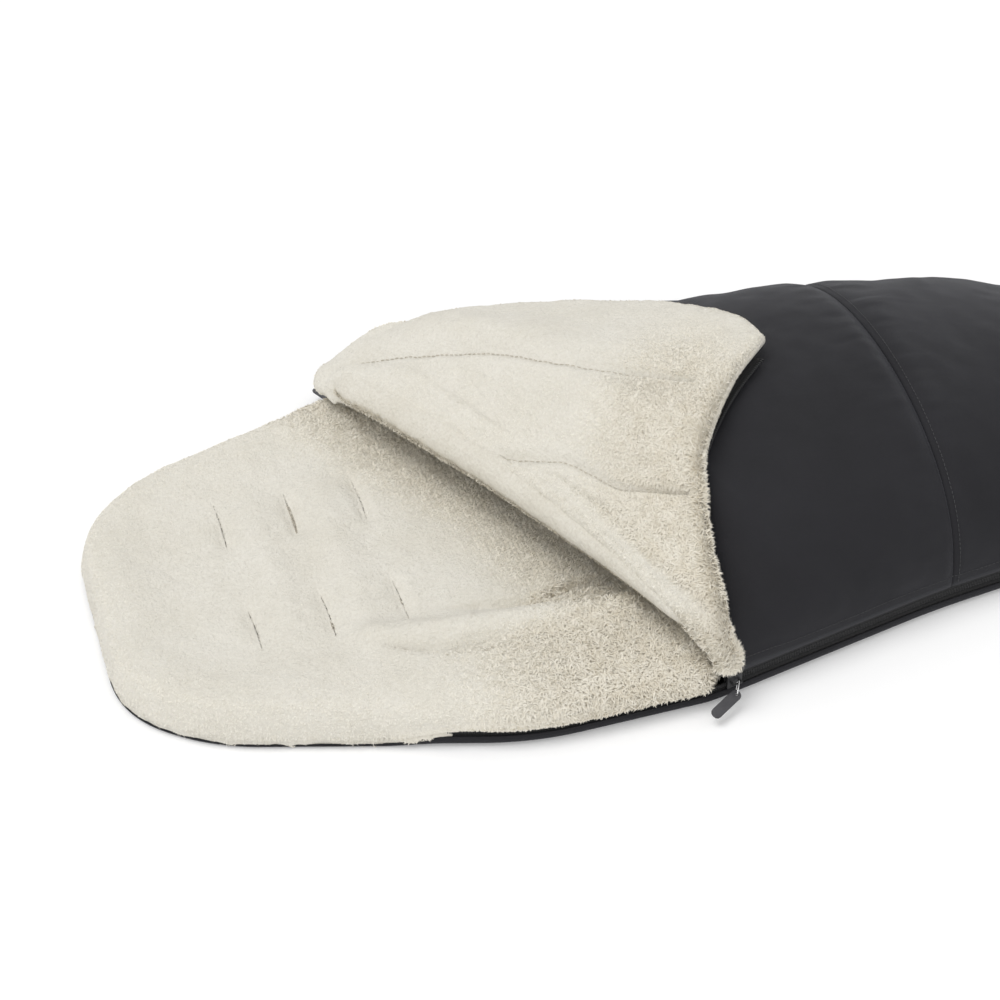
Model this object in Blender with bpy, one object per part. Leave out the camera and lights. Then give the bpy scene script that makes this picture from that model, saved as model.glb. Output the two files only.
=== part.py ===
"""A stroller footmuff lying on its back: a padded base with harness slots, a padded cover that
two side zips join to it, and the head part of the cover unzipped on the near side and folded back.

Metres, +Z up. X runs along the length, head to -X and foot to +X. The near side is -Y.
A station is the distance from the head end, an inset the distance in from the outline, and an
angle goes around the arch of the cover, from zero at the near zip to half a turn at the far one.
"""

import math

import bmesh
import bpy
import numpy as np
from mathutils import Matrix, Vector

# Overall sizes
LENGTH = 0.95
HIP_WIDTH = 0.447

# Half of the outline seen from above, as corners that are rounded off: shares of the length and
# of half the hip width, and the length of the rounding at each corner between the ends
OUTLINE_SHARES = (
    (0.0, 0.0),
    (0.0, 0.425),
    (0.063, 0.67),
    (0.316, 1.0),
    (0.4705, 1.0),
    (0.695, 0.815),
    (0.93, 0.70),
    (1.0, 0.45),
    (1.0, 0.0),
)
HEAD_ROUNDING = 0.0405
HIP_ROUNDING = 0.040
ZIP_CORNER_ROUNDING = 0.010
KNEE_ROUNDING = 0.030
TOE_ROUNDING = 0.043

# Cloth thicknesses, and the clearance between layers that are sewn together
SHELL = 0.0012
WADDING = 0.0065
FLEECE = 0.0055
SEWN_GAP = 0.0005
BED_GAP = 0.0010
TOUCH = 0.0003

# Base: a flat bed with a soft roll around its edge, and low ridges between the slots
BED_HEIGHT = 0.025
ROLL_HEIGHT = 0.0405
ROLL_BAND = 0.050
ROLL_TOP_INSET = 0.021
LINING_INSET = 0.0055
LINING_HEM = 0.0115
WALL_HEIGHT = 0.0108
FLOOR_CURVE = 0.0070
HEAD_CENTRE_SHARE = 0.0926
ZIP_CORNER_SHARE = 0.4816
TOE_CENTRE_SHARE = 0.8947
RIDGE_HEIGHT = 0.004

# Under the cover the roll stands further in and lower: how much, and between which stations it
# comes to that on each side, as shares of the length
TUCK_INSET = 0.0185
TUCK_DROP = 0.0045
NEAR_TUCK_SHARES = (0.4053, 0.4737)
FAR_TUCK_SHARES = (0.1737, 0.2474)

# Harness slots: pairs at the shoulders, and one between the legs
SLOT_FIRST = 0.118
SLOT_PITCH = 0.060
SLOT_SPREAD = 0.131
SLOT_LENGTH = 0.050
SLOT_WIDTH = 0.003
SLOT_FLAT = 0.007
CROTCH_SHARE = 0.4421
BINDING_WIDTH = 0.0022
BINDING_HEIGHT = 0.0012

# Side zips
ZIP_HEIGHT = 0.0185
TAPE_INSET = 0.0022
TAPE = 0.0006
TAPE_LOW = 0.0092
CHAIN_THICKNESS = 0.0024
CORD_REACH = 0.0026
TOOTH_REACH = 0.0010
TOOTH_GAP = 0.00035
TOOTH_PITCH = 0.009
ZIP_HEAD_SHARE = 0.2105
ZIP_FOOT_SHARE = 0.9032
STOP_LENGTH = 0.006
STOP_WALL = 0.0010

# Cover: an arch over the base. Its crown is given by shares of the length and of its top height
COVER_EDGE = 0.0265
CROWN_HEIGHT = 0.152
CROWN_SHARES = (
    (0.2105, 0.868),
    (0.4000, 0.901),
    (0.5789, 0.941),
    (0.6947, 1.000),
    (0.8000, 0.895),
    (0.9053, 0.763),
)
TOE_DROP_SHARE = 0.8421
TOE_TIP = 0.0015
FOOT_SEAM_SHARE = 0.7074
SEAM_GROOVE = 0.0025
SEAM_REACH = 0.009

# The fold: a straight line over the cover, from the near slider to the far one, its ends as
# shares of the length and of half the hip width
FOLD_NEAR_SHARES = (0.4842, -0.9933)
FOLD_FAR_SHARES = (0.2579, 0.9306)
FOLD_RISE = 0.050
FOLD_REACH = 0.080

# The flap, as shares of the length and angles: its free edge, from the free corner down to the
# slider, and its head edge, from the free corner to the far one
FREE_EDGE_SHARES = (
    (0.6021, 1.577),
    (0.5442, 1.386),
    (0.5084, 1.182),
    (0.4947, 1.040),
    (0.4874, 0.859),
    (0.4853, 0.655),
    (0.4832, 0.340),
)
HEAD_EDGE_SHARES = (
    (0.6021, 1.577),
    (0.6000, 1.800),
    (0.5758, 1.950),
    (0.5484, 2.060),
    (0.5179, 2.130),
    (0.4632, 2.280),
    (0.3895, 2.500),
    (0.3053, 2.720),
)
FLAP_TAPE_WIDTH = 0.006
FLAP_LIFT = 0.007

# Slider, link and grip
PLATE_LENGTH = 0.0135
PLATE_HEIGHT = 0.0142
PLATE_NARROW = 0.0110
PLATE = 0.0012
PLATE_GAP = 0.0031
FLANGE_GAP = 0.0013
FLANGE = 0.0010
WEDGE_LENGTH = 0.0040
WEDGE_HEIGHT = 0.0026
WEDGE_INSET = 0.0004
BAIL_LENGTH = 0.0086
BAIL_WIDTH = 0.0026
BAIL_OPENING = 0.0036
BAIL_BAR = 0.0011
LINK_REACH = 0.0092
LINK_BACK = 0.0022
LINK_WIDTH = 0.0054
LINK_CORNER = 0.0012
LINK_WIRE = 0.0013
GRIP_LENGTH = 0.0310
GRIP_WIDTH = 0.0090
GRIP_THICKNESS = 0.0022
GRIP_HOLE = 0.0026
GRIP_EDGE = 0.0006
GRIP_MARGIN = 0.0022
NEAR_SLIDER_SHARE = 0.4907
FAR_SLIDER_SHARE = 0.2700
SLIDER_PHASE_SHARE = 0.12

HALF_HIP = HIP_WIDTH / 2
HEAD_CENTRE = HEAD_CENTRE_SHARE * LENGTH
TOE_CENTRE = TOE_CENTRE_SHARE * LENGTH
ZIP_CORNER_STATION = ZIP_CORNER_SHARE * LENGTH
ZIP_HEAD_STATION = ZIP_HEAD_SHARE * LENGTH
ZIP_FOOT_STATION = ZIP_FOOT_SHARE * LENGTH
TOE_DROP_START = TOE_DROP_SHARE * LENGTH
FOOT_SEAM_STATION = FOOT_SEAM_SHARE * LENGTH
CROWN_HEIGHTS = [(a * LENGTH, b * CROWN_HEIGHT) for a, b in CROWN_SHARES]
FOLD_NEAR_STATION, FOLD_NEAR_SIDE = FOLD_NEAR_SHARES[0] * LENGTH, FOLD_NEAR_SHARES[1] * HALF_HIP
FOLD_FAR_STATION, FOLD_FAR_SIDE = FOLD_FAR_SHARES[0] * LENGTH, FOLD_FAR_SHARES[1] * HALF_HIP
FREE_EDGE = [(share * LENGTH, angle) for share, angle in FREE_EDGE_SHARES]
HEAD_EDGE = [(share * LENGTH, angle) for share, angle in HEAD_EDGE_SHARES]
INNER_START = TAPE_INSET + TAPE / 2 + SEWN_GAP
LINING_START = INNER_START + WADDING + SEWN_GAP
LAYERS = LINING_START + FLEECE
CHAIN_DROP = WEDGE_HEIGHT / 2 + TOOTH_REACH + TOUCH

# Shapes of curves, angles and counts
ROUNDING_STEPS = 6
CAP_STEPS = 5
HIP_STATIONS = 4
LEG_STATIONS = 7
CLOSE_STEPS = 5
SLOT_ROWS = 3
TOE_POWER = 2.2
ARCH_POWER = 0.88
FOLD_POWER = 0.52
HEM_ANGLE = 0.03
FOLD_FIRST_ANGLE = 0.26
FOLD_LAST_ANGLE = 2.80
FAR_EDGE_SHARE = 0.16
FLAP_COLUMNS = 12
FLAP_ROWS = 9
FLAP_END = 0.96
FLAP_SIDE = 0.985
NEAR_PULLER_FALL = math.radians(30)
NEAR_PULLER_YAW = math.radians(35)
NEAR_PULLER_SWIVEL = math.radians(71)
FAR_PULLER_FALL = math.radians(12)
FAR_PULLER_YAW = 0.0
FAR_PULLER_SWIVEL = 0.0
MERGE = 1e-5

FLEECE_CREAM = ("fleece", (0.74, 0.71, 0.62), 0.95, 0.0)
WADDING_WHITE = ("wadding", (0.80, 0.80, 0.78), 0.95, 0.0)
SHELL_BLACK = ("shell", (0.028, 0.027, 0.033), 0.55, 0.0)
TAPE_BLACK = ("tape", (0.020, 0.020, 0.021), 0.80, 0.0)
TEETH_BLACK = ("teeth", (0.018, 0.018, 0.019), 0.35, 0.0)
STITCH_GREY = ("stitching", (0.16, 0.14, 0.11), 0.85, 0.0)
SILVER = ("silver", (0.72, 0.72, 0.73), 0.25, 1.0)
GRIP_GREY = ("grip", (0.045, 0.044, 0.048), 0.50, 0.0)


def start_empty():
    for thing in list(bpy.data.objects):
        bpy.data.objects.remove(thing)
    parts = bpy.data.collections.new("stroller_footmuff")
    cutters = bpy.data.collections.new("cutters")
    for group in (parts, cutters):
        bpy.context.scene.collection.children.link(group)
    return parts, cutters


PARTS, CUTTERS = start_empty()


def material(finish):
    name, colour, roughness, metallic = finish
    found = bpy.data.materials.get(name)
    if found:
        return found
    made = bpy.data.materials.new(name)
    made.use_nodes = True
    shader = made.node_tree.nodes["Principled BSDF"]
    shader.inputs["Base Color"].default_value = (*colour, 1)
    shader.inputs["Roughness"].default_value = roughness
    shader.inputs["Metallic"].default_value = metallic
    return made


def add_part(name, shape, finish, sharp=math.radians(35)):
    """A sub-part from a bmesh, which is used up."""
    mesh = bpy.data.meshes.new(name)
    shape.to_mesh(mesh)
    shape.free()
    mesh.shade_smooth()
    mesh.set_sharp_from_angle(angle=sharp)
    mesh.materials.append(material(finish))
    part = bpy.data.objects.new(name, mesh)
    PARTS.objects.link(part)
    return part


def add_cutter(name, shape):
    mesh = bpy.data.meshes.new(name)
    shape.to_mesh(mesh)
    shape.free()
    cutter = bpy.data.objects.new(name, mesh)
    CUTTERS.objects.link(cutter)
    cutter.hide_render = True
    cutter.display_type = "WIRE"
    return cutter


def combine(part, cutter, operation):
    step = part.modifiers.new(cutter.name, "BOOLEAN")
    step.operation = operation
    step.object = cutter
    step.solver = "EXACT"


def box_shape(low, high):
    """A box between two corners."""
    shape = bmesh.new()
    bmesh.ops.create_cube(shape, size=1)
    low, high = Vector(low), Vector(high)
    for point in shape.verts:
        point.co = (low + high) / 2 + Vector(a * b for a, b in zip(point.co, high - low))
    return shape


# Grids that are shaped by a rule


def grid_steps(point, columns, rows):
    return round((point.co.x + 1) / 2 * columns), round((point.co.y + 1) / 2 * rows)


def tidy_up(shape):
    """Merges points that meet, caps open ends, and turns the faces outwards. Each four-sided face
    is split along its higher diagonal, or else its shorter one, so that layers bend alike."""
    bmesh.ops.remove_doubles(shape, verts=shape.verts, dist=MERGE)
    for face in [face for face in shape.faces if len(face.verts) == 4]:
        a, b, c, d = face.verts
        higher = (a.co.z + c.co.z - b.co.z - d.co.z) / MERGE
        if abs(higher) < 1:
            higher = (b.co - d.co).length - (a.co - c.co).length
        bmesh.utils.face_split(face, *((a, c) if higher > 0 else (b, d)))
    open_edges = [edge for edge in shape.edges if edge.is_boundary]
    if open_edges:
        bmesh.ops.holes_fill(shape, edges=open_edges, sides=0)
    bmesh.ops.recalc_face_normals(shape, faces=shape.faces)
    return shape


def wrapped_grid(columns, rows, place):
    """A closed form: a grid moved to place(column, row), whose sides meet."""
    shape = bmesh.new()
    bmesh.ops.create_grid(shape, x_segments=columns, y_segments=rows, size=1)
    for point in shape.verts:
        point.co = place(*grid_steps(point, columns, rows))
    return tidy_up(shape)


def layered_grid(columns, rows, outer, inner):
    """A closed sheet: a grid moved to outer(column, row), extruded to inner(column, row)."""
    shape = bmesh.new()
    bmesh.ops.create_grid(shape, x_segments=columns, y_segments=rows, size=1)
    steps = shape.verts.layers.float_vector.new("steps")
    for point in shape.verts:
        point[steps] = (*grid_steps(point, columns, rows), 0)
    made = bmesh.ops.extrude_face_region(shape, geom=shape.faces[:], use_keep_orig=True)
    deep = {thing for thing in made["geom"] if isinstance(thing, bmesh.types.BMVert)}
    for point in shape.verts:
        column, row = round(point[steps].x), round(point[steps].y)
        point.co = inner(column, row) if point in deep else outer(column, row)
    return tidy_up(shape)


def bar_along(count, corners):
    """A closed bar through sections of four corners each."""
    sections = [corners(k) for k in range(count + 1)]
    return wrapped_grid(count, 4, lambda column, row: sections[column][row % 4])


# Curves


def smooth_through(points, value):
    """A smooth curve through points given as (position, height), level beyond its ends."""
    xs, ys = np.array(points, float).T
    slopes = np.gradient(ys, xs)
    k = int(np.clip(np.searchsorted(xs, value) - 1, 0, len(xs) - 2))
    span = xs[k + 1] - xs[k]
    t = float(np.clip((value - xs[k]) / span, 0, 1))
    bend = span * (slopes[k] * t * (1 - t) ** 2 - slopes[k + 1] * t * t * (1 - t))
    return float(ys[k] + (ys[k + 1] - ys[k]) * ease(t) + bend)


def ease(value):
    t = min(max(value, 0.0), 1.0)
    return t * t * (3 - 2 * t)


def mix(a, b, t):
    return a * (1 - t) + b * t


def rounded_outline():
    """Half the outline from the head end to the foot end, as (station, half width)."""
    lengths = [HEAD_ROUNDING] * 2
    lengths += [HIP_ROUNDING, ZIP_CORNER_ROUNDING, KNEE_ROUNDING]
    lengths += [TOE_ROUNDING] * 2
    corners = [Vector((a * LENGTH, b * HALF_HIP)) for a, b in OUTLINE_SHARES]
    points = [corners[0]]
    for before, corner, after, length in zip(corners, corners[1:], corners[2:], lengths):
        back, ahead = before - corner, after - corner
        start = corner + back.normalized() * min(length, back.length / 2)
        end = corner + ahead.normalized() * min(length, ahead.length / 2)
        for step in range(ROUNDING_STEPS + 1):
            t = step / ROUNDING_STEPS
            points.append(mix(mix(start, corner, t), mix(corner, end, t), t))
    points.append(corners[-1])
    return np.array([tuple(point) for point in points])


OUTLINE = rounded_outline()
OUTLINE_RUNS = np.concatenate([[0], np.cumsum(np.linalg.norm(np.diff(OUTLINE, axis=0), axis=1))])


def half_width(station):
    return float(np.interp(station, OUTLINE[:, 0], OUTLINE[:, 1]))


def outline_at(run):
    """The outline's point after a run along it from the head end."""
    station = float(np.interp(run, OUTLINE_RUNS, OUTLINE[:, 0]))
    return Vector((station, float(np.interp(run, OUTLINE_RUNS, OUTLINE[:, 1]))))


def run_to(station):
    return float(np.interp(station, OUTLINE[:, 0], OUTLINE_RUNS))


def slider_station(share):
    """The station by a share of the length at which a slider's throat is in step with the teeth."""
    head, half_pitch = run_to(ZIP_HEAD_STATION), TOOTH_PITCH / 2
    steps = round((run_to(share * LENGTH) - head) / half_pitch - SLIDER_PHASE_SHARE)
    return outline_at(head + half_pitch * (steps + SLIDER_PHASE_SHARE)).x


NEAR_SLIDER_STATION = slider_station(NEAR_SLIDER_SHARE)
FAR_SLIDER_STATION = slider_station(FAR_SLIDER_SHARE)


def in_frame(station, side, height):
    return Vector((station - LENGTH / 2, side, height))


# The base


def cross_stations():
    """Stations of the base's cross lines, closer together where the slots and ridges are."""
    found = [HEAD_CENTRE]
    for k in range(SLOT_ROWS):
        row = SLOT_FIRST + SLOT_PITCH * k
        found += [row - SLOT_FLAT, row + SLOT_FLAT, row + SLOT_PITCH / 2]
    for end, count in ((ZIP_CORNER_STATION, HIP_STATIONS), (TOE_CENTRE, LEG_STATIONS)):
        last = found[-1]
        found += [mix(last, end, k / count) for k in range(1, count + 1)]
    return found


def wall_runs():
    """Runs along the outline at which the base's walls have their corners."""
    head_run, toe_run = run_to(HEAD_CENTRE), run_to(TOE_CENTRE)
    runs = [head_run * k / CAP_STEPS for k in range(CAP_STEPS)]
    runs += [run_to(station) for station in cross_stations()]
    return runs + [mix(toe_run, OUTLINE_RUNS[-1], k / CAP_STEPS) for k in range(1, CAP_STEPS + 1)]


WALL_RUNS = wall_runs()
WALL = np.array([tuple(outline_at(run)) for run in WALL_RUNS])


def wall_point(side, run, inset, height):
    """A point by the base's side wall. side is -1 for the near one and 1 for the far one."""
    k = int(np.clip(np.searchsorted(WALL_RUNS, run), 1, len(WALL_RUNS) - 1))
    before, after = Vector(WALL[k - 1]), Vector(WALL[k])
    along = (after - before).normalized()
    t = (run - WALL_RUNS[k - 1]) / (WALL_RUNS[k] - WALL_RUNS[k - 1])
    corners = []
    for end, beyond in ((k - 1, k - 2), (k, k + 1)):
        beyond = min(max(beyond, 0), len(WALL) - 1)
        other = Vector(WALL[beyond] - WALL[end]) * (1 if beyond > end else -1)
        turn = (along + other.normalized()).normalized() if other.length else along
        inward = Vector((turn.y, -turn.x))
        corners.append(inward * (inset / max(inward.dot(Vector((along.y, -along.x))), 0.5)))
    flat = mix(before, after, t) + mix(corners[0], corners[1], t)
    return in_frame(flat.x, side * flat.y, height)


def around_outline():
    """Pairs of a point on the middle line and the outline's point beside it, once around."""
    edges = [outline_at(run) for run in WALL_RUNS]
    half = [(Vector((min(max(edge.x, HEAD_CENTRE), TOE_CENTRE), 0)), edge) for edge in edges]
    near = [(middle, Vector((edge.x, -edge.y))) for middle, edge in half]
    return near + half[-2:0:-1]


AROUND = around_outline()


def ridge_at(station):
    """How far the bed swells between the rows of slots, from 0 to 1."""
    first = SLOT_FIRST - SLOT_PITCH / 2
    last = first + SLOT_PITCH * SLOT_ROWS
    if not first < station < last:
        return 0.0
    offset = (station - SLOT_FIRST) % SLOT_PITCH
    away = min(offset, SLOT_PITCH - offset)
    return ease((away - SLOT_FLAT) / (SLOT_PITCH / 2 - SLOT_FLAT))


def sunk(profile, depth):
    """A profile moved inwards by a depth, square to itself."""
    flat = [Vector((-inset if share == 1 else (share - 2) * ROLL_BAND, height))
            for share, inset, height, _ in profile]
    moved = []
    for k, (share, inset, height, swell) in enumerate(profile):
        along = (flat[min(k + 1, len(flat) - 1)] - flat[max(k - 1, 0)]).normalized()
        down = Vector((along.y, -along.x)) * depth
        moved.append((share, inset - (down.x if share == 1 else 0), height + down.y, swell))
    return moved


def tuck_at(edge):
    """How far the roll is tucked in beside a point of the outline, from 0 to 1."""
    start, end = (share * LENGTH for share in (NEAR_TUCK_SHARES if edge.y < 0 else FAR_TUCK_SHARES))
    return ease((edge.x - start) / (end - start))


def base_form(profile_at):
    """A closed form around the outline. The profile for a tuck goes from the middle of the top out
    to the edge and back under, as (share of the bed, inset, height, share of the ridge)."""
    count = len(AROUND)
    profiles = [profile_at(tuck_at(edge)) for _, edge in AROUND]

    def place(column, row):
        middle, edge = AROUND[column % count]
        share, inset, height, swell = profiles[column % count][row]
        reach = (edge - middle).length
        out = reach - inset if share == 1 else share * (reach - ROLL_BAND)
        point = middle + (edge - middle) * (out / reach)
        return in_frame(point.x, point.y, height + swell * RIDGE_HEIGHT * ridge_at(point.x))

    return wrapped_grid(count, len(profiles[0]) - 1, place)


def bed_profile(tuck):
    """The top of the base: the level bed, the roll, and the side down to the hem."""
    height = ROLL_HEIGHT - TUCK_DROP * tuck
    side_inset = LINING_INSET + TUCK_INSET * tuck
    top_inset = ROLL_TOP_INSET + TUCK_INSET * tuck
    slope = mix(BED_HEIGHT, height, 0.66)
    return [
        (0, 0, BED_HEIGHT, 1),
        (0.45, 0, BED_HEIGHT, 1),
        (0.80, 0, BED_HEIGHT, 1),
        (1, ROLL_BAND, BED_HEIGHT, 0),
        (1, mix(ROLL_BAND, top_inset, 0.5), slope, 0),
        (1, top_inset, height, 0),
        (1, mix(side_inset, top_inset, 0.4), height - FLEECE / 4, 0),
        (1, side_inset, height - FLEECE * 1.6, 0),
        (1, side_inset, LINING_HEM, 0),
    ]


def lining_profile(tuck):
    top = bed_profile(tuck)
    under = sunk(top, FLEECE)
    under[-1] = (1, top[-1][1] + FLEECE, LINING_HEM, 0)
    return top + under[::-1]


def padding_profile(tuck):
    top = bed_profile(tuck)
    floor = SHELL + SEWN_GAP
    ledge = LINING_HEM - SEWN_GAP
    edge = INNER_START + BED_GAP
    return sunk(top, FLEECE + BED_GAP)[:-1] + [
        (1, top[-1][1] + FLEECE + BED_GAP, ledge, 0),
        (1, edge, ledge, 0),
        (1, edge, floor + FLOOR_CURVE, 0),
        (1, edge + FLOOR_CURVE, floor, 0),
        (1, ROLL_BAND, floor, 0),
        (0, 0, floor, 0),
    ]


def tray_profile(_):
    corner = FLOOR_CURVE * 0.3
    return [
        (0, 0, SHELL, 0),
        (1, ROLL_BAND, SHELL, 0),
        (1, FLOOR_CURVE + SHELL / 2, SHELL, 0),
        (1, SHELL, FLOOR_CURVE + SHELL / 2, 0),
        (1, SHELL, WALL_HEIGHT, 0),
        (1, 0, WALL_HEIGHT, 0),
        (1, 0, FLOOR_CURVE, 0),
        (1, corner, corner, 0),
        (1, FLOOR_CURVE, 0, 0),
        (1, ROLL_BAND, 0, 0),
        (0, 0, 0, 0),
    ]


def add_base():
    lining = add_part("base_lining", base_form(lining_profile), FLEECE_CREAM)
    padding = add_part("base_padding", base_form(padding_profile), WADDING_WHITE)
    shell = add_part("base_shell", base_form(tray_profile), SHELL_BLACK)
    slits = add_cutter("slot_cutter", slot_slits())
    for part in (lining, padding, shell):
        combine(part, slits, "DIFFERENCE")


def slot_places():
    """The middle of each harness slot, as (name, station, side)."""
    places = []
    for k in range(SLOT_ROWS):
        station = SLOT_FIRST + SLOT_PITCH * k
        places.append((f"near_slot_binding_{k + 1}", station, -SLOT_SPREAD / 2))
        places.append((f"far_slot_binding_{k + 1}", station, SLOT_SPREAD / 2))
    return places + [("crotch_slot_binding", CROTCH_SHARE * LENGTH, 0.0)]


def slot_slits():
    slits = bmesh.new()
    for _, station, side in slot_places():
        middle = in_frame(station, side, BED_HEIGHT / 2)
        half = Vector((SLOT_WIDTH / 2, SLOT_LENGTH / 2, BED_HEIGHT))
        one = box_shape(middle - half, middle + half)
        mesh = bpy.data.meshes.new("slit")
        one.to_mesh(mesh)
        one.free()
        slits.from_mesh(mesh)
    return slits


def add_slot_bindings():
    """A raised stitched rim around the top of each slot."""
    corner_steps = 3
    straight = SLOT_LENGTH / 2 - SLOT_WIDTH / 2
    low = BED_HEIGHT + TOUCH
    for name, station, side in slot_places():
        middle = in_frame(station, side, low)

        def rim(k, middle=middle):
            turn, step = divmod(k % (2 * corner_steps + 2), corner_steps + 1)
            angle = math.pi * (turn + step / corner_steps)
            away = Vector((math.cos(angle), math.sin(angle), 0))
            end = middle + Vector((0, straight if turn == 0 else -straight, 0))
            inside = end + away * (SLOT_WIDTH / 2 + TOUCH)
            outside = inside + away * BINDING_WIDTH
            up = Vector((0, 0, BINDING_HEIGHT))
            return inside, outside, outside + up, inside + up

        count = 2 * corner_steps + 2
        add_part(name, bar_along(count, rim), STITCH_GREY)


# The cover, its fold and its flap


FOLD_NEAR = Vector((FOLD_NEAR_STATION, FOLD_NEAR_SIDE))
FOLD_FAR = Vector((FOLD_FAR_STATION, FOLD_FAR_SIDE))
FOLD_ALONG = (FOLD_FAR - FOLD_NEAR).normalized()
FOLD_AHEAD = Vector((FOLD_ALONG.y, -FOLD_ALONG.x))


def toe_share(station):
    return max(0.0, (station - TOE_DROP_START) / (LENGTH - TOE_DROP_START))


def arch_point(station, angle, depth):
    """A point of the arch, so deep under its outside, or above it where depth is below zero."""
    share = toe_share(station)
    drop = (1 - min(share, 1) ** TOE_POWER) ** (1 / TOE_POWER)
    rise = (smooth_through(CROWN_HEIGHTS, station) - COVER_EDGE) * drop
    width = half_width(station)
    side = -width * math.cos(angle)
    ahead = (Vector((station, side)) - FOLD_NEAR).dot(FOLD_AHEAD)
    full = ease(ahead / FOLD_REACH)
    curve = math.sin(angle)
    height = mix(FOLD_RISE * curve ** FOLD_POWER, rise * curve ** ARCH_POWER, full)
    dip = SEAM_GROOVE * math.exp(-((station - FOOT_SEAM_STATION) / SEAM_REACH) ** 2)
    height += -dip * curve - depth * drop * curve
    return in_frame(station - depth * share, -(width - depth) * math.cos(angle), COVER_EDGE + height)


def fold_station(angle):
    """The station at which the fold crosses an angle of the arch."""
    station = FOLD_NEAR_STATION
    slope = (FOLD_FAR_STATION - FOLD_NEAR_STATION) / (FOLD_FAR_SIDE - FOLD_NEAR_SIDE)
    for _ in range(12):
        side = -half_width(station) * math.cos(angle)
        station = FOLD_NEAR_STATION + slope * (side - FOLD_NEAR_SIDE)
    return station


def cover_layers(name):
    """Name, depths and finish of the three layers of a padded panel, from the outside in."""
    return (
        (f"{name}_shell", 0.0, SHELL, SHELL_BLACK),
        (f"{name}_padding", INNER_START, INNER_START + WADDING, WADDING_WHITE),
        (f"{name}_lining", LINING_START, LAYERS, FLEECE_CREAM),
    )


def add_panel(name, columns, row_shares, first, last):
    """Three layers of cover between two stations, each given for an angle."""

    def sheet(depth):
        def place(column, row):
            angle = mix(HEM_ANGLE, math.pi - HEM_ANGLE, column / columns)
            return arch_point(mix(first(angle), last(angle), row_shares[row]), angle, depth)

        return place

    for layer, top, bottom, finish in cover_layers(name):
        shape = layered_grid(columns, len(row_shares) - 1, sheet(top), sheet(bottom))
        add_part(layer, shape, finish)


def add_cover():
    main_rows = (0, 0.10, 0.22, 0.36, 0.52, 0.68, 0.82, 0.93, 1)
    add_panel("cover", 16, main_rows, fold_station, lambda _: FOOT_SEAM_STATION - TOUCH / 2)
    foot_rows = (0, 0.06, 0.24, 0.46, 0.66, 0.80, 0.90, 0.96, 1)
    add_panel("foot", 16, foot_rows, lambda _: FOOT_SEAM_STATION + TOUCH / 2,
              lambda _: LENGTH - TOE_TIP)


def along_edge(edge, share):
    """The (station, angle) at a share of an edge."""
    places = np.linspace(0, 1, len(edge))
    return tuple(smooth_through(list(zip(places, values)), share) for values in zip(*edge))


def fold_edge(share):
    """The flap's other edge: down its far side, and then along the fold to the slider."""
    if share < FAR_EDGE_SHARE:
        t = share / FAR_EDGE_SHARE
        station, angle = HEAD_EDGE[-1]
        return (mix(station, fold_station(FOLD_LAST_ANGLE), t), mix(angle, FOLD_LAST_ANGLE, t))
    t = (share - FAR_EDGE_SHARE) / (1 - FAR_EDGE_SHARE)
    angle = mix(FOLD_LAST_ANGLE, FREE_EDGE[-1][1], t ** 0.9)
    return fold_station(angle), angle


def flap_point(along, across, depth):
    """A point of the folded flap, which lies on the cover upside down: its shell is lowest."""
    free, fold = along_edge(FREE_EDGE, along), fold_edge(along)
    head, near, far = along_edge(HEAD_EDGE, across), FREE_EDGE[0], HEAD_EDGE[-1]
    fade = (1 - along) ** 2
    station, angle = (mix(free[k], fold[k], across) + fade * (head[k] - mix(near[k], far[k], across))
                      for k in (0, 1))
    return arch_point(station, angle, -depth - FLAP_LIFT)


def add_flap():
    def sheet(depth):
        def place(column, row):
            return flap_point(row / FLAP_ROWS * FLAP_END, column / FLAP_COLUMNS * FLAP_SIDE, depth)

        return place

    for layer, low, high, finish in cover_layers("flap"):
        shape = layered_grid(FLAP_COLUMNS, FLAP_ROWS, sheet(high), sheet(low))
        add_part(layer, shape, finish)


def add_fold():
    """The cloth that turns over between the cover and the flap, around the fold."""
    columns, rows = 14, 5

    def bend(depth):
        def place(column, row):
            angle = mix(FOLD_FIRST_ANGLE, FOLD_LAST_ANGLE, column / columns)
            station = fold_station(angle)
            reach = depth + FLAP_LIFT / 2
            middle = arch_point(station, angle, -FLAP_LIFT / 2)
            up = arch_point(station, angle, -reach - FLAP_LIFT / 2) - middle
            back = Vector((-FOLD_AHEAD.x, -FOLD_AHEAD.y, 0)) * reach
            turn = math.pi * row / rows
            point = middle + up * math.cos(turn) + back * math.sin(turn)
            return point - Vector((FOLD_AHEAD.x, FOLD_AHEAD.y, 0)) * SEWN_GAP

        return place

    for layer, low, high, finish in cover_layers("fold")[1:]:
        shape = layered_grid(columns, rows, bend(high), bend(low))
        add_part(layer, shape, finish)


def tape_top(side, run):
    """How high a tape or band on the wall reaches, to the sewn gap under the cover's hem."""
    angle = HEM_ANGLE if side < 0 else math.pi - HEM_ANGLE
    return arch_point(outline_at(run).x, angle, INNER_START).z - SEWN_GAP


def add_toe_band():
    """The strip that joins the base to the foot panel around the toes, between the zips."""
    start = run_to(ZIP_FOOT_STATION) + STOP_LENGTH
    runs = [start + TOUCH * 3] + [run for run in WALL_RUNS if run > start + STOP_LENGTH]
    steps = len(runs) - 1

    def section(k):
        side = -1 if k <= steps else 1
        run = runs[min(k, 2 * steps - k)]
        inner, outer, high = TAPE_INSET + TAPE / 2, TAPE_INSET - TAPE / 2, tape_top(side, run)
        return [wall_point(side, run, inset, height) for inset, height in (
            (outer, TAPE_LOW), (inner, TAPE_LOW), (inner, high), (outer, high))]

    add_part("toe_band", bar_along(2 * steps, section), SHELL_BLACK)


# The zips


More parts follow.
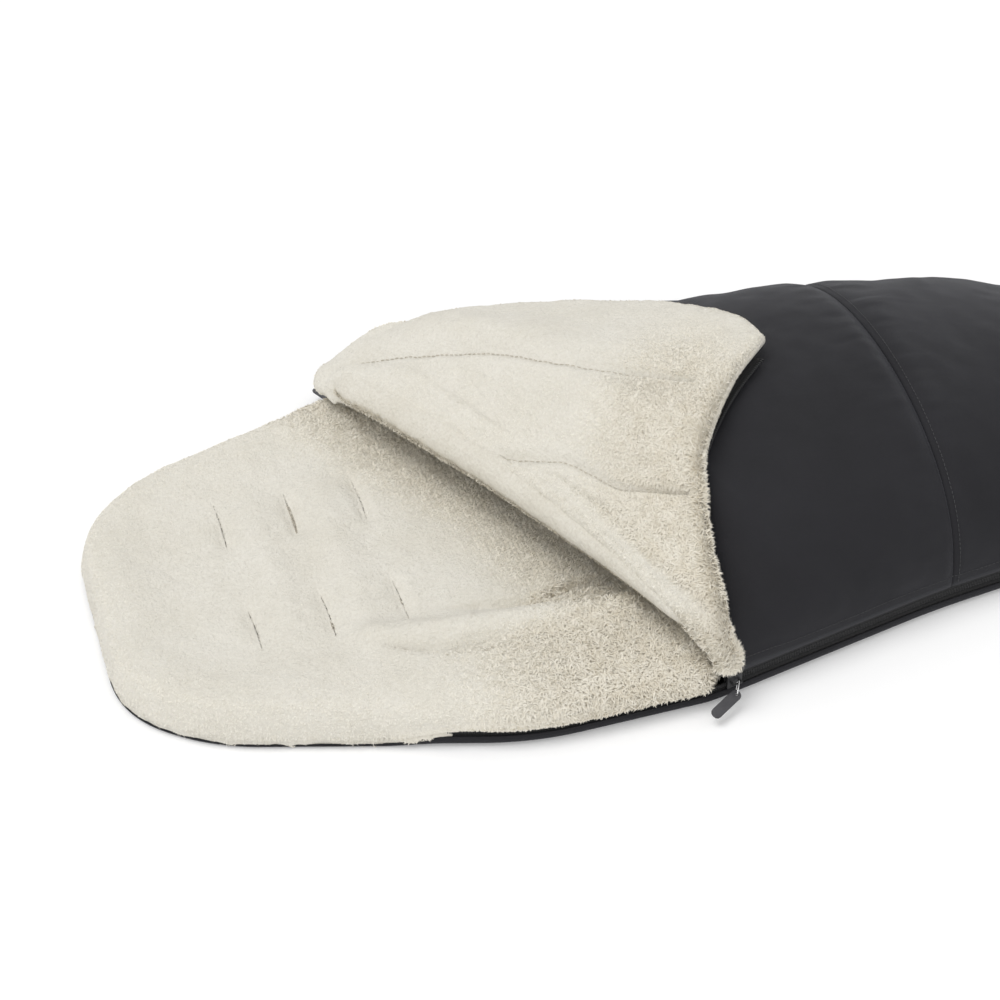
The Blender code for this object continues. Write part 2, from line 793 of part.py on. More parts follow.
def chain_drop(station, slider_station):
    """How far the base's half of a chain hangs below the closed chain, ahead of the slider."""
    behind = slider_station + PLATE_LENGTH / 2 - station
    return CHAIN_DROP * ease(behind / (PLATE_LENGTH - WEDGE_LENGTH))


def add_zip(name, side, slider_station):
    """Both tapes and both rows of teeth of a side zip. The cover's half starts in the slider."""
    head, foot = run_to(ZIP_HEAD_STATION), run_to(ZIP_FOOT_STATION)
    slider = run_to(slider_station)
    half_pitch = TOOTH_PITCH / 2
    count = int((foot - head) / half_pitch)
    meet = math.ceil((slider - head) / half_pitch)
    outer, inner = TAPE_INSET - CHAIN_THICKNESS / 2, TAPE_INSET + CHAIN_THICKNESS / 2

    def crest(k):
        return ZIP_HEIGHT + TOOTH_REACH * (1 if k % 2 else -1)

    def bar(k, low, high, near, far):
        run = head + half_pitch * k
        return [wall_point(side, run, inset, height)
                for inset, height in ((near, low), (far, low), (far, high), (near, high))]

    def drop(k):
        return chain_drop(outline_at(head + half_pitch * k).x, slider_station)

    def base_teeth(k):
        return bar(k, ZIP_HEIGHT - CORD_REACH - drop(k), crest(k) - drop(k), outer, inner)

    def cover_teeth(k):
        k += meet
        return bar(k, crest(k) + TOOTH_GAP, ZIP_HEIGHT + CORD_REACH + TOOTH_GAP, outer, inner)

    add_part(f"{name}_base_teeth", bar_along(count, base_teeth), TEETH_BLACK)
    add_part(f"{name}_cover_teeth", bar_along(count - meet, cover_teeth), TEETH_BLACK)

    face, back = TAPE_INSET - TAPE / 2, TAPE_INSET + TAPE / 2
    bends = [(run - head) / half_pitch for run in WALL_RUNS if head < run < head + half_pitch * count]
    by_slider = range(meet - CLOSE_STEPS, meet + CLOSE_STEPS)
    base_marks = sorted({0, count, *by_slider, *bends})
    cover_marks = sorted({meet, count, *(mark for mark in bends if mark > meet)})

    def base_tape(k):
        k = base_marks[k]
        return bar(k, TAPE_LOW, ZIP_HEIGHT - CORD_REACH - TOUCH - drop(k), face, back)

    def cover_tape(k):
        low = ZIP_HEIGHT + CORD_REACH + TOOTH_GAP + TOUCH
        k = cover_marks[k]
        return bar(k, low, tape_top(side, head + half_pitch * k), face, back)

    add_part(f"{name}_base_tape", bar_along(len(base_marks) - 1, base_tape), TAPE_BLACK)
    add_part(f"{name}_cover_tape", bar_along(len(cover_marks) - 1, cover_tape), TAPE_BLACK)

    def stop(start, low, high):
        def section(k):
            run = start + STOP_LENGTH * k
            near, far = outer, inner
            return [wall_point(side, run, inset, height)
                    for inset, height in ((near, low), (far, low), (far, high), (near, high))]

        return bar_along(1, section)

    low, high = ZIP_HEIGHT - CORD_REACH - STOP_WALL, ZIP_HEIGHT + CORD_REACH + STOP_WALL
    add_part(f"{name}_bottom_stop", stop(head + half_pitch * count + TOUCH, low, high), SILVER)
    low -= CHAIN_DROP
    top = head - STOP_LENGTH - TOUCH
    add_part(f"{name}_top_stop", stop(top, low, high - CHAIN_DROP * 2), SILVER)


def add_flap_zip():
    """The cover's open half of the near zip, along the flap's free edge."""
    frames = []
    for row in range(FLAP_ROWS + 1):
        share = row / FLAP_ROWS * FLAP_END
        edge = flap_point(share, 0, 0)
        out = (edge - flap_point(share, 1 / FLAP_COLUMNS, 0)).normalized()
        up = (flap_point(share, 0, SHELL) - edge).normalized()
        frames.append((edge, out, up))
    lengths = [0.0]
    for a, b in zip(frames, frames[1:]):
        lengths.append(lengths[-1] + (b[0] - a[0]).length)

    def strip(run, start, end, thickness):
        k = int(np.clip(np.searchsorted(lengths, run), 1, FLAP_ROWS))
        t = (run - lengths[k - 1]) / (lengths[k] - lengths[k - 1])
        edge, out, up = (mix(a, b, t) for a, b in zip(frames[k - 1], frames[k]))
        low, high = edge + out * start, edge + out * end
        return [low, high, high + up * thickness, low + up * thickness]

    def tape(k):
        return strip(lengths[k], TOUCH, FLAP_TAPE_WIDTH, TAPE)

    def teeth(k):
        reach = CORD_REACH + TOOTH_REACH * (1 if k % 2 else -1)
        start = FLAP_TAPE_WIDTH + TOUCH
        return strip(TOOTH_PITCH / 2 * k, start, start + reach, CHAIN_THICKNESS)

    add_part("flap_tape", bar_along(FLAP_ROWS, tape), TAPE_BLACK)
    add_part("flap_teeth", bar_along(int(lengths[-1] / (TOOTH_PITCH / 2)), teeth), TEETH_BLACK)


# Sliders and pullers


def slider_frame(side, station):
    """Matrix of a slider on its chain: X along the chain, Y up and Z outwards."""
    run = run_to(station)
    place = wall_point(side, run, TAPE_INSET, ZIP_HEIGHT)
    ahead = wall_point(side, run + PLATE_LENGTH / 2, TAPE_INSET, ZIP_HEIGHT)
    along = (ahead - place).normalized() * -side
    up = Vector((0, 0, 1))
    out = along.cross(up)
    return Matrix.Translation(place) @ Matrix((along, up, out)).transposed().to_4x4()


def plate_shape(foot, low, high):
    """A slider's plate: wide at the mouths that face the head, narrow at the foot end."""
    shape = box_shape((-PLATE_LENGTH / 2, -PLATE_HEIGHT / 2, low),
                      (PLATE_LENGTH / 2, PLATE_HEIGHT / 2, high))
    for point in shape.verts:
        if point.co.x * foot > 0:
            point.co.y *= PLATE_NARROW / PLATE_HEIGHT
    upright = [edge for edge in shape.edges
               if abs(edge.verts[0].co.z - edge.verts[1].co.z) > PLATE / 2]
    bmesh.ops.bevel(shape, geom=upright, offset=PLATE, segments=2, profile=0.5, affect="EDGES")
    return shape


def add_slider(name, side, station):
    """Two plates with a wedge between them, side flanges and a bail, joined into one body."""
    foot = 1 if side < 0 else -1
    gap = PLATE_GAP / 2
    body = add_part(name, plate_shape(foot, gap, gap + PLATE), SILVER)
    pieces = [plate_shape(foot, -gap - PLATE, -gap)]

    sink = PLATE / 3
    end = -foot * PLATE_LENGTH / 2
    wedge = sorted((end + foot * WEDGE_INSET, end + foot * (WEDGE_INSET + WEDGE_LENGTH)))
    pieces.append(box_shape((wedge[0], -WEDGE_HEIGHT / 2, -gap - sink),
                            (wedge[1], WEDGE_HEIGHT / 2, gap + sink)))
    straight = PLATE_LENGTH / 2 - PLATE
    taper = (PLATE_HEIGHT - PLATE_NARROW) / 2 * straight / PLATE_LENGTH
    rail = (PLATE_HEIGHT + PLATE_NARROW) / 4 - SEWN_GAP
    for up in (-1, 1):
        for out in (-1, 1):
            zs = sorted((out * FLANGE_GAP / 2, out * (gap + sink)))
            flange = box_shape((-straight, -FLANGE, zs[0]), (straight, 0, zs[1]))
            for point in flange.verts:
                lean = -taper if point.co.x * foot > 0 else taper
                point.co.y = up * (point.co.y + rail + lean)
            bmesh.ops.recalc_face_normals(flange, faces=flange.faces)
            pieces.append(flange)
    face = gap + PLATE
    top = face + BAIL_OPENING + BAIL_BAR
    half = BAIL_LENGTH / 2
    for end in (-half, half - BAIL_BAR):
        pieces.append(box_shape((end, -BAIL_WIDTH / 2, face - sink),
                                (end + BAIL_BAR, BAIL_WIDTH / 2, top - sink)))
    inner = half - sink
    pieces.append(box_shape((-inner, -BAIL_BAR / 2, top - BAIL_BAR), (inner, BAIL_BAR / 2, top)))
    for k, piece in enumerate(pieces):
        cutter = add_cutter(f"{name}_piece_{k}", piece)
        cutter.parent = body
        combine(body, cutter, "UNION")
    body.matrix_world = slider_frame(side, station)
    return body


def rounded_loop(length, width, corner, steps):
    """Points once around a rectangle with rounded corners, in the XY plane."""
    points = []
    for k, (a, b) in enumerate(((1, 1), (-1, 1), (-1, -1), (1, -1))):
        middle = Vector((a * (length / 2 - corner), b * (width / 2 - corner), 0))
        for step in range(steps + 1):
            turn = math.pi / 2 * (k + step / steps)
            points.append(middle + Vector((math.cos(turn), math.sin(turn), 0)) * corner)
    return points


def add_link(name, place):
    """A wire ring: it goes around the bail's bar and through the grip's hole, along its X."""
    length = LINK_REACH + LINK_BACK
    curve = bpy.data.curves.new(name, "CURVE")
    curve.dimensions = "3D"
    curve.bevel_depth = LINK_WIRE / 2
    curve.bevel_resolution = 1
    curve.resolution_u = 1
    points = rounded_loop(length, LINK_WIDTH, LINK_CORNER, 2)
    spline = curve.splines.new("POLY")
    spline.points.add(len(points) - 1)
    for knot, point in zip(spline.points, points):
        knot.co = (point.x + length / 2 - LINK_BACK, point.y, 0, 1)
    spline.use_cyclic_u = True
    curve.materials.append(material(SILVER))
    link = bpy.data.objects.new(name, curve)
    PARTS.objects.link(link)
    link.matrix_world = place
    return link


def add_grip(name, place):
    """A flat tab with round ends, with the hole for the link at its origin, along its X."""
    rim = rounded_loop(GRIP_LENGTH, GRIP_WIDTH, GRIP_WIDTH * 0.46, 3)
    offset = Vector((GRIP_LENGTH / 2 - GRIP_HOLE / 2 - GRIP_MARGIN, 0, 0))
    rim = [point + offset for point in rim]
    half = GRIP_THICKNESS / 2

    def section(k):
        outside = rim[k % len(rim)]
        away = outside.normalized()
        hole, edge = away * (GRIP_HOLE / 2), outside - away * GRIP_EDGE
        low, high = Vector((0, 0, -half)), Vector((0, 0, half))
        ease_in = Vector((0, 0, GRIP_EDGE))
        return (hole + low, edge + low, outside + low + ease_in,
                outside + high - ease_in, edge + high, hole + high)

    shape = wrapped_grid(len(rim), 6, lambda column, row: section(column)[row % 6])
    grip = add_part(name, shape, GRIP_GREY)
    grip.matrix_world = place
    return grip


def add_puller(name, side, station, fall, yaw, swivel):
    """The link lies on the bail, tipped down by fall and turned to the head by yaw. The grip is
    turned to the head by swivel."""
    frame = slider_frame(side, station)
    bar = PLATE_GAP / 2 + PLATE + BAIL_OPENING + BAIL_BAR / 2
    pivot = frame @ Vector((0, 0, bar))
    along, up, out = (frame.col[k].to_3d() for k in range(3))
    straight = out * math.cos(fall) - up * math.sin(fall)
    face = along.cross(straight)
    headward = -along if side < 0 else along
    reach = straight * math.cos(yaw) + headward * math.sin(yaw)
    tilt = Matrix((reach, face, reach.cross(face))).transposed().to_4x4()
    add_link(f"{name}_link", Matrix.Translation(pivot) @ tilt)

    tip = straight * math.cos(swivel) + headward * math.sin(swivel)
    flat = Matrix((tip, face.cross(tip), face)).transposed().to_4x4()
    add_grip(f"{name}_grip", Matrix.Translation(pivot + reach * LINK_REACH) @ flat)


def add_zips():
    add_zip("near", -1, NEAR_SLIDER_STATION)
    add_zip("far", 1, FAR_SLIDER_STATION)
    add_flap_zip()
    add_slider("near_slider", -1, NEAR_SLIDER_STATION)
    add_slider("far_slider", 1, FAR_SLIDER_STATION)
    near = (NEAR_PULLER_FALL, NEAR_PULLER_YAW, NEAR_PULLER_SWIVEL)
    far = (FAR_PULLER_FALL, FAR_PULLER_YAW, FAR_PULLER_SWIVEL)
    add_puller("near", -1, NEAR_SLIDER_STATION, *near)
    add_puller("far", 1, FAR_SLIDER_STATION, *far)


add_base()
add_slot_bindings()
add_cover()
add_fold()
add_flap()
add_toe_band()
add_zips()
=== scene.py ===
"""A stroller footmuff on its back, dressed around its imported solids: deep cream fleece inside, a
smooth black shell outside, two side zips, and the head part of the cover folded back.

Metres, +Z up. X runs along the length, head to -X and foot to +X. The near side is -Y.
A station is the distance from the head end, an inset the distance in from the outline, and an
angle goes around the arch of the cover, from zero at the near zip to half a turn at the far one.
"""

import math

import bmesh
import bpy
import numpy as np
from mathutils import Matrix, Vector


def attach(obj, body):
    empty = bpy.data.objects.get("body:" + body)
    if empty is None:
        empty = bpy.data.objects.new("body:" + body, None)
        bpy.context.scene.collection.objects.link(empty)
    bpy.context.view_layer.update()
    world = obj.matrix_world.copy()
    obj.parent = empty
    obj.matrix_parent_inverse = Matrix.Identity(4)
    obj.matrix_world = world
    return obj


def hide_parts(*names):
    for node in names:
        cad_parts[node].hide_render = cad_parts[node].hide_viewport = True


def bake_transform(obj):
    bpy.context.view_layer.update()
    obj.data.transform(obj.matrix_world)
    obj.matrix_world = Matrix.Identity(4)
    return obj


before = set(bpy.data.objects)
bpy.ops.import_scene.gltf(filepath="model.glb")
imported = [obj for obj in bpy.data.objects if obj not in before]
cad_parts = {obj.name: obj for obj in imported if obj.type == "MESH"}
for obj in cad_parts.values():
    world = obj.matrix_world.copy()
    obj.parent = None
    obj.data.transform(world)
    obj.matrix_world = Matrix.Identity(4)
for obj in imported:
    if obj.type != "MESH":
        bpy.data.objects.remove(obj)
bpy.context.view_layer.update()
bpy.ops.object.select_all(action="DESELECT")

# Studio
# A pale plain floor under soft light from above, and the camera above the near side of the head
# end, looking down along the footmuff.
EYE = Vector((-0.5645, -1.3634, 1.2951))
TURN, FALL = math.radians(17.6), math.radians(40.9)
LENS, SENSOR = 81.97, 36.0
FLOOR_SIZE, FLOOR_DROP = 12.0, 0.0002
FLOOR_TONE, FLOOR_GLOW = (0.90, 0.90, 0.90), 0.14
SKY_LEVEL, BACKDROP_LEVEL = 0.66, 1.0
KEY_PLACE, KEY_SPREAD, KEY_POWER = (-0.7, 0.2, 2.1), 34, 1.08
FILL_PLACE, FILL_SPREAD, FILL_POWER = (-0.5, -1.9, 1.1), 55, 0.50

back = Vector((-math.sin(TURN) * math.cos(FALL), -math.cos(TURN) * math.cos(FALL), math.sin(FALL)))
right = Vector((math.cos(TURN), -math.sin(TURN), 0))
view = Matrix((right, back.cross(right), back)).transposed().to_4x4()
view.translation = EYE
camera_data = bpy.data.cameras.new("camera")
camera_data.lens = LENS
camera_data.sensor_width = SENSOR
camera = bpy.data.objects.new("camera", camera_data)
bpy.context.scene.collection.objects.link(camera)
camera.matrix_world = view
bpy.context.scene.camera = camera
bpy.context.scene.view_settings.view_transform = "Standard"

world = bpy.data.worlds.new("studio")
bpy.context.scene.world = world
world.use_nodes = True
nodes, links = world.node_tree.nodes, world.node_tree.links
sky = nodes["Background"]
backdrop = nodes.new("ShaderNodeBackground")
for light, level in ((sky, SKY_LEVEL), (backdrop, BACKDROP_LEVEL)):
    light.inputs["Color"].default_value = (1.0, 1.0, 1.0, 1)
    light.inputs["Strength"].default_value = level
path = nodes.new("ShaderNodeLightPath")
either = nodes.new("ShaderNodeMixShader")
seen = path.outputs["Is Camera Ray"]
for kind in ("Is Glossy Ray", "Is Transmission Ray"):
    most = nodes.new("ShaderNodeMath")
    most.operation = "MAXIMUM"
    links.new(seen, most.inputs[0])
    links.new(path.outputs[kind], most.inputs[1])
    seen = most.outputs[0]
links.new(seen, either.inputs["Fac"])
links.new(sky.outputs[0], either.inputs[1])
links.new(backdrop.outputs[0], either.inputs[2])
links.new(either.outputs[0], nodes["World Output"].inputs["Surface"])

bpy.ops.mesh.primitive_plane_add(size=FLOOR_SIZE, location=(0, 0, -FLOOR_DROP))
floor = bpy.context.active_object
floor.name = "floor"
floor_paint = bpy.data.materials.new("floor_paint")
floor_paint.use_nodes = True
nodes, links = floor_paint.node_tree.nodes, floor_paint.node_tree.links
paint = nodes["Principled BSDF"]
paint.inputs["Base Color"].default_value = (*FLOOR_TONE, 1)
paint.inputs["Roughness"].default_value = 1.0
paint.inputs["Specular IOR Level"].default_value = 0.0
path = nodes.new("ShaderNodeLightPath")
glow = nodes.new("ShaderNodeEmission")
glow.inputs["Strength"].default_value = FLOOR_GLOW
both = nodes.new("ShaderNodeAddShader")
either = nodes.new("ShaderNodeMixShader")
links.new(paint.outputs[0], both.inputs[0])
links.new(glow.outputs[0], both.inputs[1])
links.new(path.outputs["Is Camera Ray"], either.inputs["Fac"])
links.new(paint.outputs[0], either.inputs[1])
links.new(both.outputs[0], either.inputs[2])
links.new(either.outputs[0], nodes["Material Output"].inputs["Surface"])
floor.data.materials.append(floor_paint)


def add_lamp(name, place, spread, power):
    """A wide soft light that falls the same way everywhere, from a place towards the middle."""
    lamp = bpy.data.lights.new(name, "SUN")
    lamp.angle = math.radians(spread)
    lamp.energy = power
    holder = bpy.data.objects.new(name, lamp)
    holder.location = place
    holder.rotation_euler = (-Vector(place)).to_track_quat("-Z", "Y").to_euler()
    bpy.context.scene.collection.objects.link(holder)


add_lamp("key_lamp", KEY_PLACE, KEY_SPREAD, KEY_POWER)
add_lamp("fill_lamp", FILL_PLACE, FILL_SPREAD, FILL_POWER)

# Base pad
# The bed of the sack and the soft roll around it: cream fleece over loose wadding, sewn into one
# pad, with slits for the harness. At the head the fleece bulges over the shell, almost to the floor.
LENGTH = 0.95
HALF_HIP = 0.2235
OUTLINE_SHARES = (
    (0.0, 0.0),
    (0.0, 0.425),
    (0.063, 0.67),
    (0.316, 1.0),
    (0.4705, 1.0),
    (0.695, 0.815),
    (0.93, 0.70),
    (1.0, 0.45),
    (1.0, 0.0),
)
CORNER_ROUNDINGS = (0.0405, 0.0405, 0.040, 0.010, 0.030, 0.043, 0.043)
HEAD_CENTRE, TOE_CENTRE = 0.0926 * LENGTH, 0.8947 * LENGTH
BED_HEIGHT, HEAD_BED_HEIGHT, ROLL_HEIGHT = 0.0255, 0.0325, 0.0395
ROLL_BAND, HEAD_ROLL_BAND, ROLL_TOP_INSET, WIDE_TOP_INSET = 0.050, 0.082, 0.023, 0.034
PAD_INSET, HEAD_PAD_INSET, PAD_FLOOR, UNDER_INSET = 0.0048, 0.0002, 0.0017, 0.0045
PAD_HEM, HEAD_HEM, HEM_RISE = 0.0115, 0.0030, (0.185, 0.235)
TUCK_INSET, TUCK_DROP = 0.0185, 0.0045
NEAR_TUCK, FAR_TUCK = (0.438, 0.474), (0.252, 0.276)
SLOT_FIRST, SLOT_PITCH, SLOT_SPREAD, SLOT_LENGTH = 0.118, 0.060, 0.131, 0.050
CROTCH_STATION = 0.420
SLIT_WIDTH, SLIT_BOW, SLIT_LOW, SLIT_HIGH = 0.0008, 0.0012, -0.01, 0.05
# The fleece's dip at a slot: its depth, half its width, its fade at the ends, and how far inside
# each end of the slot that fade starts
SLOT_DIP, SLOT_DIP_WIDTH, SLOT_DIP_FADE, SLOT_DIP_SHORT = 0.0040, 0.0060, 0.010, 0.004
RIDGE_HEIGHT, RIDGE_LENGTH, RIDGE_FADE = 0.0036, 0.016, (0.06, 0.07)
# Steps around the outline, and the stations between which they are fine
FINE_STEP, COARSE_STEP, FINE_FROM, FINE_TO = 0.0021, 0.0045, 0.098, 0.258
# Fades along the pad: a station, and the length over which the change comes in
BED_FADE, ROLL_FADE, SIDE_FADE = (0.24, 0.20), (0.22, 0.16), (0.222, 0.034)
# The same for heights up the side, for shares of the way out over the bed, and towards the fold
TOP_FADE, DIP_FADE, HOLLOW_FADE = (0.008, 0.012), (0.70, 0.30), (-0.085, 0.09)
# Where the roll hangs over its hem, on the near side and on the far one, and how far out it then
# swells at its shoulder, its side and its foot
HANG_START, HANG_LENGTH, HANG_FADE = (0.215, 0.205), (0.05, 0.03), 0.02
SHOULDER_SWELL, SIDE_SWELL, FOOT_SWELL = 0.0022, 0.0038, 0.0008
# The side's slant at the head, the hem's turn inwards, and the fall of the roll's top outwards
HEAD_SLANT_IN, HEAD_SLANT_OUT, HEM_TURN, TOP_FALL, WIDE_TOP_FALL = 0.0006, 0.0008, 0.0004, 0.0016, 0.0040
# Stretches of the near side: a start with its fade, and an end with its fade
WIDE_STRETCH, FLUFF_STRETCH = (0.125, 0.11, 0.50, 0.12), (0.225, 0.16, 0.50, 0.12)
# A puff beside the near roll: a line of (station, side), its height, half width and fading
PUFF_LINE = ((0.205, -0.102), (0.265, -0.112), (0.320, -0.120), (0.354, -0.124), (0.410, -0.133))
PUFF_HEIGHT, PUFF_REACH, PUFF_FADING = 0.0092, 0.0130, 0.02
# Creases beside it: lines of (station, side), each with its depth and half width
LOWER_CREASE = ((0.205, -0.115), (0.235, -0.127), (0.265, -0.135), (0.300, -0.138), (0.330, -0.136))
UPPER_CREASE = ((0.262, -0.084), (0.301, -0.091), (0.329, -0.098), (0.360, -0.106),
                (0.398, -0.116), (0.440, -0.128))
HOLLOW_SEAM = ((0.345, -0.0950), (0.371, -0.0885), (0.394, -0.0810))
CREASES = ((LOWER_CREASE, 0.0075, 0.0048), (UPPER_CREASE, 0.0062, 0.0055), (HOLLOW_SEAM, 0.0080, 0.0032))
CREASE_FADING = 0.6
CREASE_FROM, CREASE_TO = (0.226, -0.105), (0.437, -0.085)
# Lumps of the fleece: the size, seed and height of each layer
PAD_LUMPS = ((0.034, 1, 0.0011), (0.013, 2, 0.0007), (0.0065, 3, 0.00045))
EDGE_LUMPS = ((0.009, 4, 0.0011),)
# Fluff lengthens the locks and browns the fleece; under the fold, along its seam and on the near slope the
# browning is painted shade
# How fluffy the fleece is in the fold's shade and at the pad's side, and where it gets fluffy
HOLLOW_FLUFF_AND_SHADE, SIDE_FLUFF, SIDE_FLUFF_FADE = 0.85, 0.35, (0.10, 0.2)
SLOPE_FADE, SEAM_FLUFF_AND_SHADE_REACH = (0.122, 0.020), 0.010
# A point under the cover's edge, and the direction from there towards the foot
MOUTH_POINT, MOUTH_AHEAD = (-0.015, -0.222), (0.8944, 0.4472)


def ease(value):
    t = np.clip(value, 0, 1)
    return t * t * (3 - 2 * t)


def mix(a, b, t):
    return a * (1 - t) + b * t


def fade_in(value, start, length):
    """From 0 at a start to 1 a length further on."""
    return ease((value - start) / length)


def stretch(value, start, rise, end, fall):
    """A soft stretch of ones, with a length to rise over at its start and to fall over at its end."""
    return fade_in(value, start, rise) * (1 - fade_in(value, end, fall))


def unit(vectors):
    return vectors / np.maximum(np.linalg.norm(vectors, axis=-1, keepdims=True), 1e-12)


def curve(points, value):
    """A smooth curve through (position, height) points, level beyond its ends."""
    xs, ys = np.array(points, float).T
    slopes = np.gradient(ys, xs)
    value = np.asarray(value, float)
    k = np.clip(np.searchsorted(xs, value) - 1, 0, len(xs) - 2)
    span = xs[k + 1] - xs[k]
    t = np.clip((value - xs[k]) / span, 0, 1)
    bend = span * (slopes[k] * t * (1 - t) ** 2 - slopes[k + 1] * t * t * (1 - t))
    return ys[k] + (ys[k + 1] - ys[k]) * ease(t) + bend


def lumps(points, size, seed=0):
    """Smooth random lumps of about a size, from -1 to 1, at each point."""
    place = points / size + 31.7 * (seed + 1)
    cell = np.floor(place).astype(np.int64)
    part = ease(place - cell)
    total = 0.0
    for corner in np.ndindex(2, 2, 2):
        at = cell + corner
        mixed = at[..., 0] * 73856093 ^ at[..., 1] * 19349663 ^ at[..., 2] * 83492791 ^ seed * 2654435
        mixed = (mixed ^ (mixed >> 13)) * 1274126177 & 0x7FFFFFFF
        weight = np.prod(np.where(np.array(corner) == 1, part, 1 - part), axis=-1)
        total = total + weight * ((mixed ^ (mixed >> 16)) % 65536 / 32767.5 - 1)
    return total


def bumps(points, layers):
    """Lumps on lumps, each layer with its size, seed and height."""
    return sum(lumps(points, size, seed) * height for size, seed, height in layers)


def rounded_outline(steps=24):
    """Half the outline from the head end to the foot end, as (station, half width)."""
    corners = np.array(OUTLINE_SHARES) * (LENGTH, HALF_HIP)
    points = [corners[0]]
    for before, corner, after, length in zip(corners, corners[1:], corners[2:], CORNER_ROUNDINGS):
        back, ahead = before - corner, after - corner
        start = corner + back / np.linalg.norm(back) * min(length, np.linalg.norm(back) / 2)
        end = corner + ahead / np.linalg.norm(ahead) * min(length, np.linalg.norm(ahead) / 2)
        for t in np.linspace(0, 1, steps + 1):
            points.append(mix(mix(start, corner, t), mix(corner, end, t), t))
    points.append(corners[-1])
    return np.array(points)


OUTLINE = rounded_outline()
RUNS = np.concatenate([[0], np.cumsum(np.linalg.norm(np.diff(OUTLINE, axis=0), axis=1))])


def half_width(station):
    return np.interp(station, OUTLINE[:, 0], OUTLINE[:, 1])


def run_to(station):
    return float(np.interp(station, OUTLINE[:, 0], RUNS))


def edge_at(runs):
    """Outline points after runs from the head end, and the directions inwards from them."""
    reach = 0.002
    before, point, ahead = (np.stack([np.interp(runs + step, RUNS, OUTLINE[:, k]) for k in (0, 1)], -1)
                            for step in (-reach, 0, reach))
    along = unit(ahead - before)
    return point, np.stack([along[:, 1], -along[:, 0]], -1)


def mesh_of(name, points, faces, **layers):
    """A smooth mesh from arrays, with named layers of a value for each point."""
    mesh = bpy.data.meshes.new(name)
    mesh.vertices.add(len(points))
    mesh.vertices.foreach_set("co", np.asarray(points, np.float32).ravel())
    mesh.loops.add(faces.size)
    mesh.loops.foreach_set("vertex_index", np.asarray(faces, np.int32).ravel())
    mesh.polygons.add(len(faces))
    mesh.polygons.foreach_set("loop_start", np.arange(0, faces.size, faces.shape[1], dtype=np.int32))
    for layer, values in layers.items():
        made = mesh.attributes.new(layer, "FLOAT", "POINT")
        made.data.foreach_set("value", np.asarray(values, np.float32).ravel())
    mesh.update(calc_edges=True)
    mesh.validate()
    return mesh


def place_mesh(name, mesh, material):
    mesh.shade_smooth()
    mesh.materials.append(material)
    piece = bpy.data.objects.new(name, mesh)
    bpy.context.scene.collection.objects.link(piece)
    return piece


def add_piece(name, points, faces, material, merge=1e-5, **layers):
    """A piece with its doubles merged, its faces outwards and its surface smooth."""
    mesh = mesh_of(name, points, faces, **layers)
    shape = bmesh.new()
    shape.from_mesh(mesh)
    bmesh.ops.remove_doubles(shape, verts=shape.verts, dist=merge)
    bmesh.ops.dissolve_degenerate(shape, edges=shape.edges, dist=merge / 10)
    if shape.calc_volume(signed=True) < 0:
        bmesh.ops.reverse_faces(shape, faces=shape.faces)
    shape.to_mesh(mesh)
    shape.free()
    return place_mesh(name, mesh, material)


def dress(piece, body, slot, *nodes):
    """Say which body carries a piece and which solids it stands for; its finish, the slot, is not used."""
    if body:
        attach(piece, body)
    if nodes:
        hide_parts(*nodes)


def grid_faces(rows, columns, wrap=False):
    index = np.arange(rows * columns).reshape(rows, columns)
    if wrap:
        index = np.concatenate([index, index[:, :1]], axis=1)
    corners = index[:-1, :-1], index[:-1, 1:], index[1:, 1:], index[1:, :-1]
    return np.stack(corners, -1).reshape(-1, 4)


def start_material(name, colour, roughness, sheen=0.0):
    """A material, its node makers and its shader, with the values that are the same all over."""
    made = bpy.data.materials.new(name)
    made.use_nodes = True
    tree = made.node_tree
    shader = tree.nodes["Principled BSDF"]
    shader.inputs["Base Color"].default_value = (*colour, 1)
    shader.inputs["Roughness"].default_value = roughness
    shader.inputs["Sheen Weight"].default_value = sheen
    shader.inputs["Sheen Roughness"].default_value = 0.5
    return made, tree, shader


def noise(tree, coordinates, scale, detail=4.0, rough=0.55):
    made = tree.nodes.new("ShaderNodeTexNoise")
    made.inputs["Scale"].default_value = scale
    made.inputs["Detail"].default_value = detail
    made.inputs["Roughness"].default_value = rough
    tree.links.new(coordinates, made.inputs["Vector"])
    return made.outputs["Fac"]


def ramp(tree, factor, *stops):
    """Colours by a factor, each stop a (position, colour)."""
    made = tree.nodes.new("ShaderNodeValToRGB")
    while len(made.color_ramp.elements) < len(stops):
        made.color_ramp.elements.new(0.5)
    for element, (position, colour) in zip(made.color_ramp.elements, stops):
        element.position = position
        element.color = (*colour, 1)
    tree.links.new(factor, made.inputs["Fac"])
    return made.outputs["Color"]


def combine(tree, operation, a, b):
    made = tree.nodes.new("ShaderNodeMath")
    made.operation = operation
    for socket, value in zip(made.inputs, (a, b)):
        if isinstance(value, (int, float)):
            socket.default_value = value
        else:
            tree.links.new(value, socket)
    return made.outputs[0]


def blend_colours(tree, factor, a, b, mode="MIX"):
    made = tree.nodes.new("ShaderNodeMix")
    made.data_type = "RGBA"
    made.blend_type = mode
    sockets = (made.inputs["Factor"], made.inputs[6], made.inputs[7])
    for socket, value in zip(sockets, (factor, a, b)):
        if isinstance(value, (int, float)):
            socket.default_value = value
        elif isinstance(value, tuple):
            socket.default_value = (*value, 1)
        else:
            tree.links.new(value, socket)
    return made.outputs[2]


def multiply_colours(tree, a, b):
    return blend_colours(tree, 1.0, a, b, "MULTIPLY")


def tint(tree, shader, factor, low, high, start=0.3, end=0.7):
    """Let the shader's colour go from low to high with a factor."""
    tree.links.new(ramp(tree, factor, (start, low), (end, high)), shader.inputs["Base Color"])


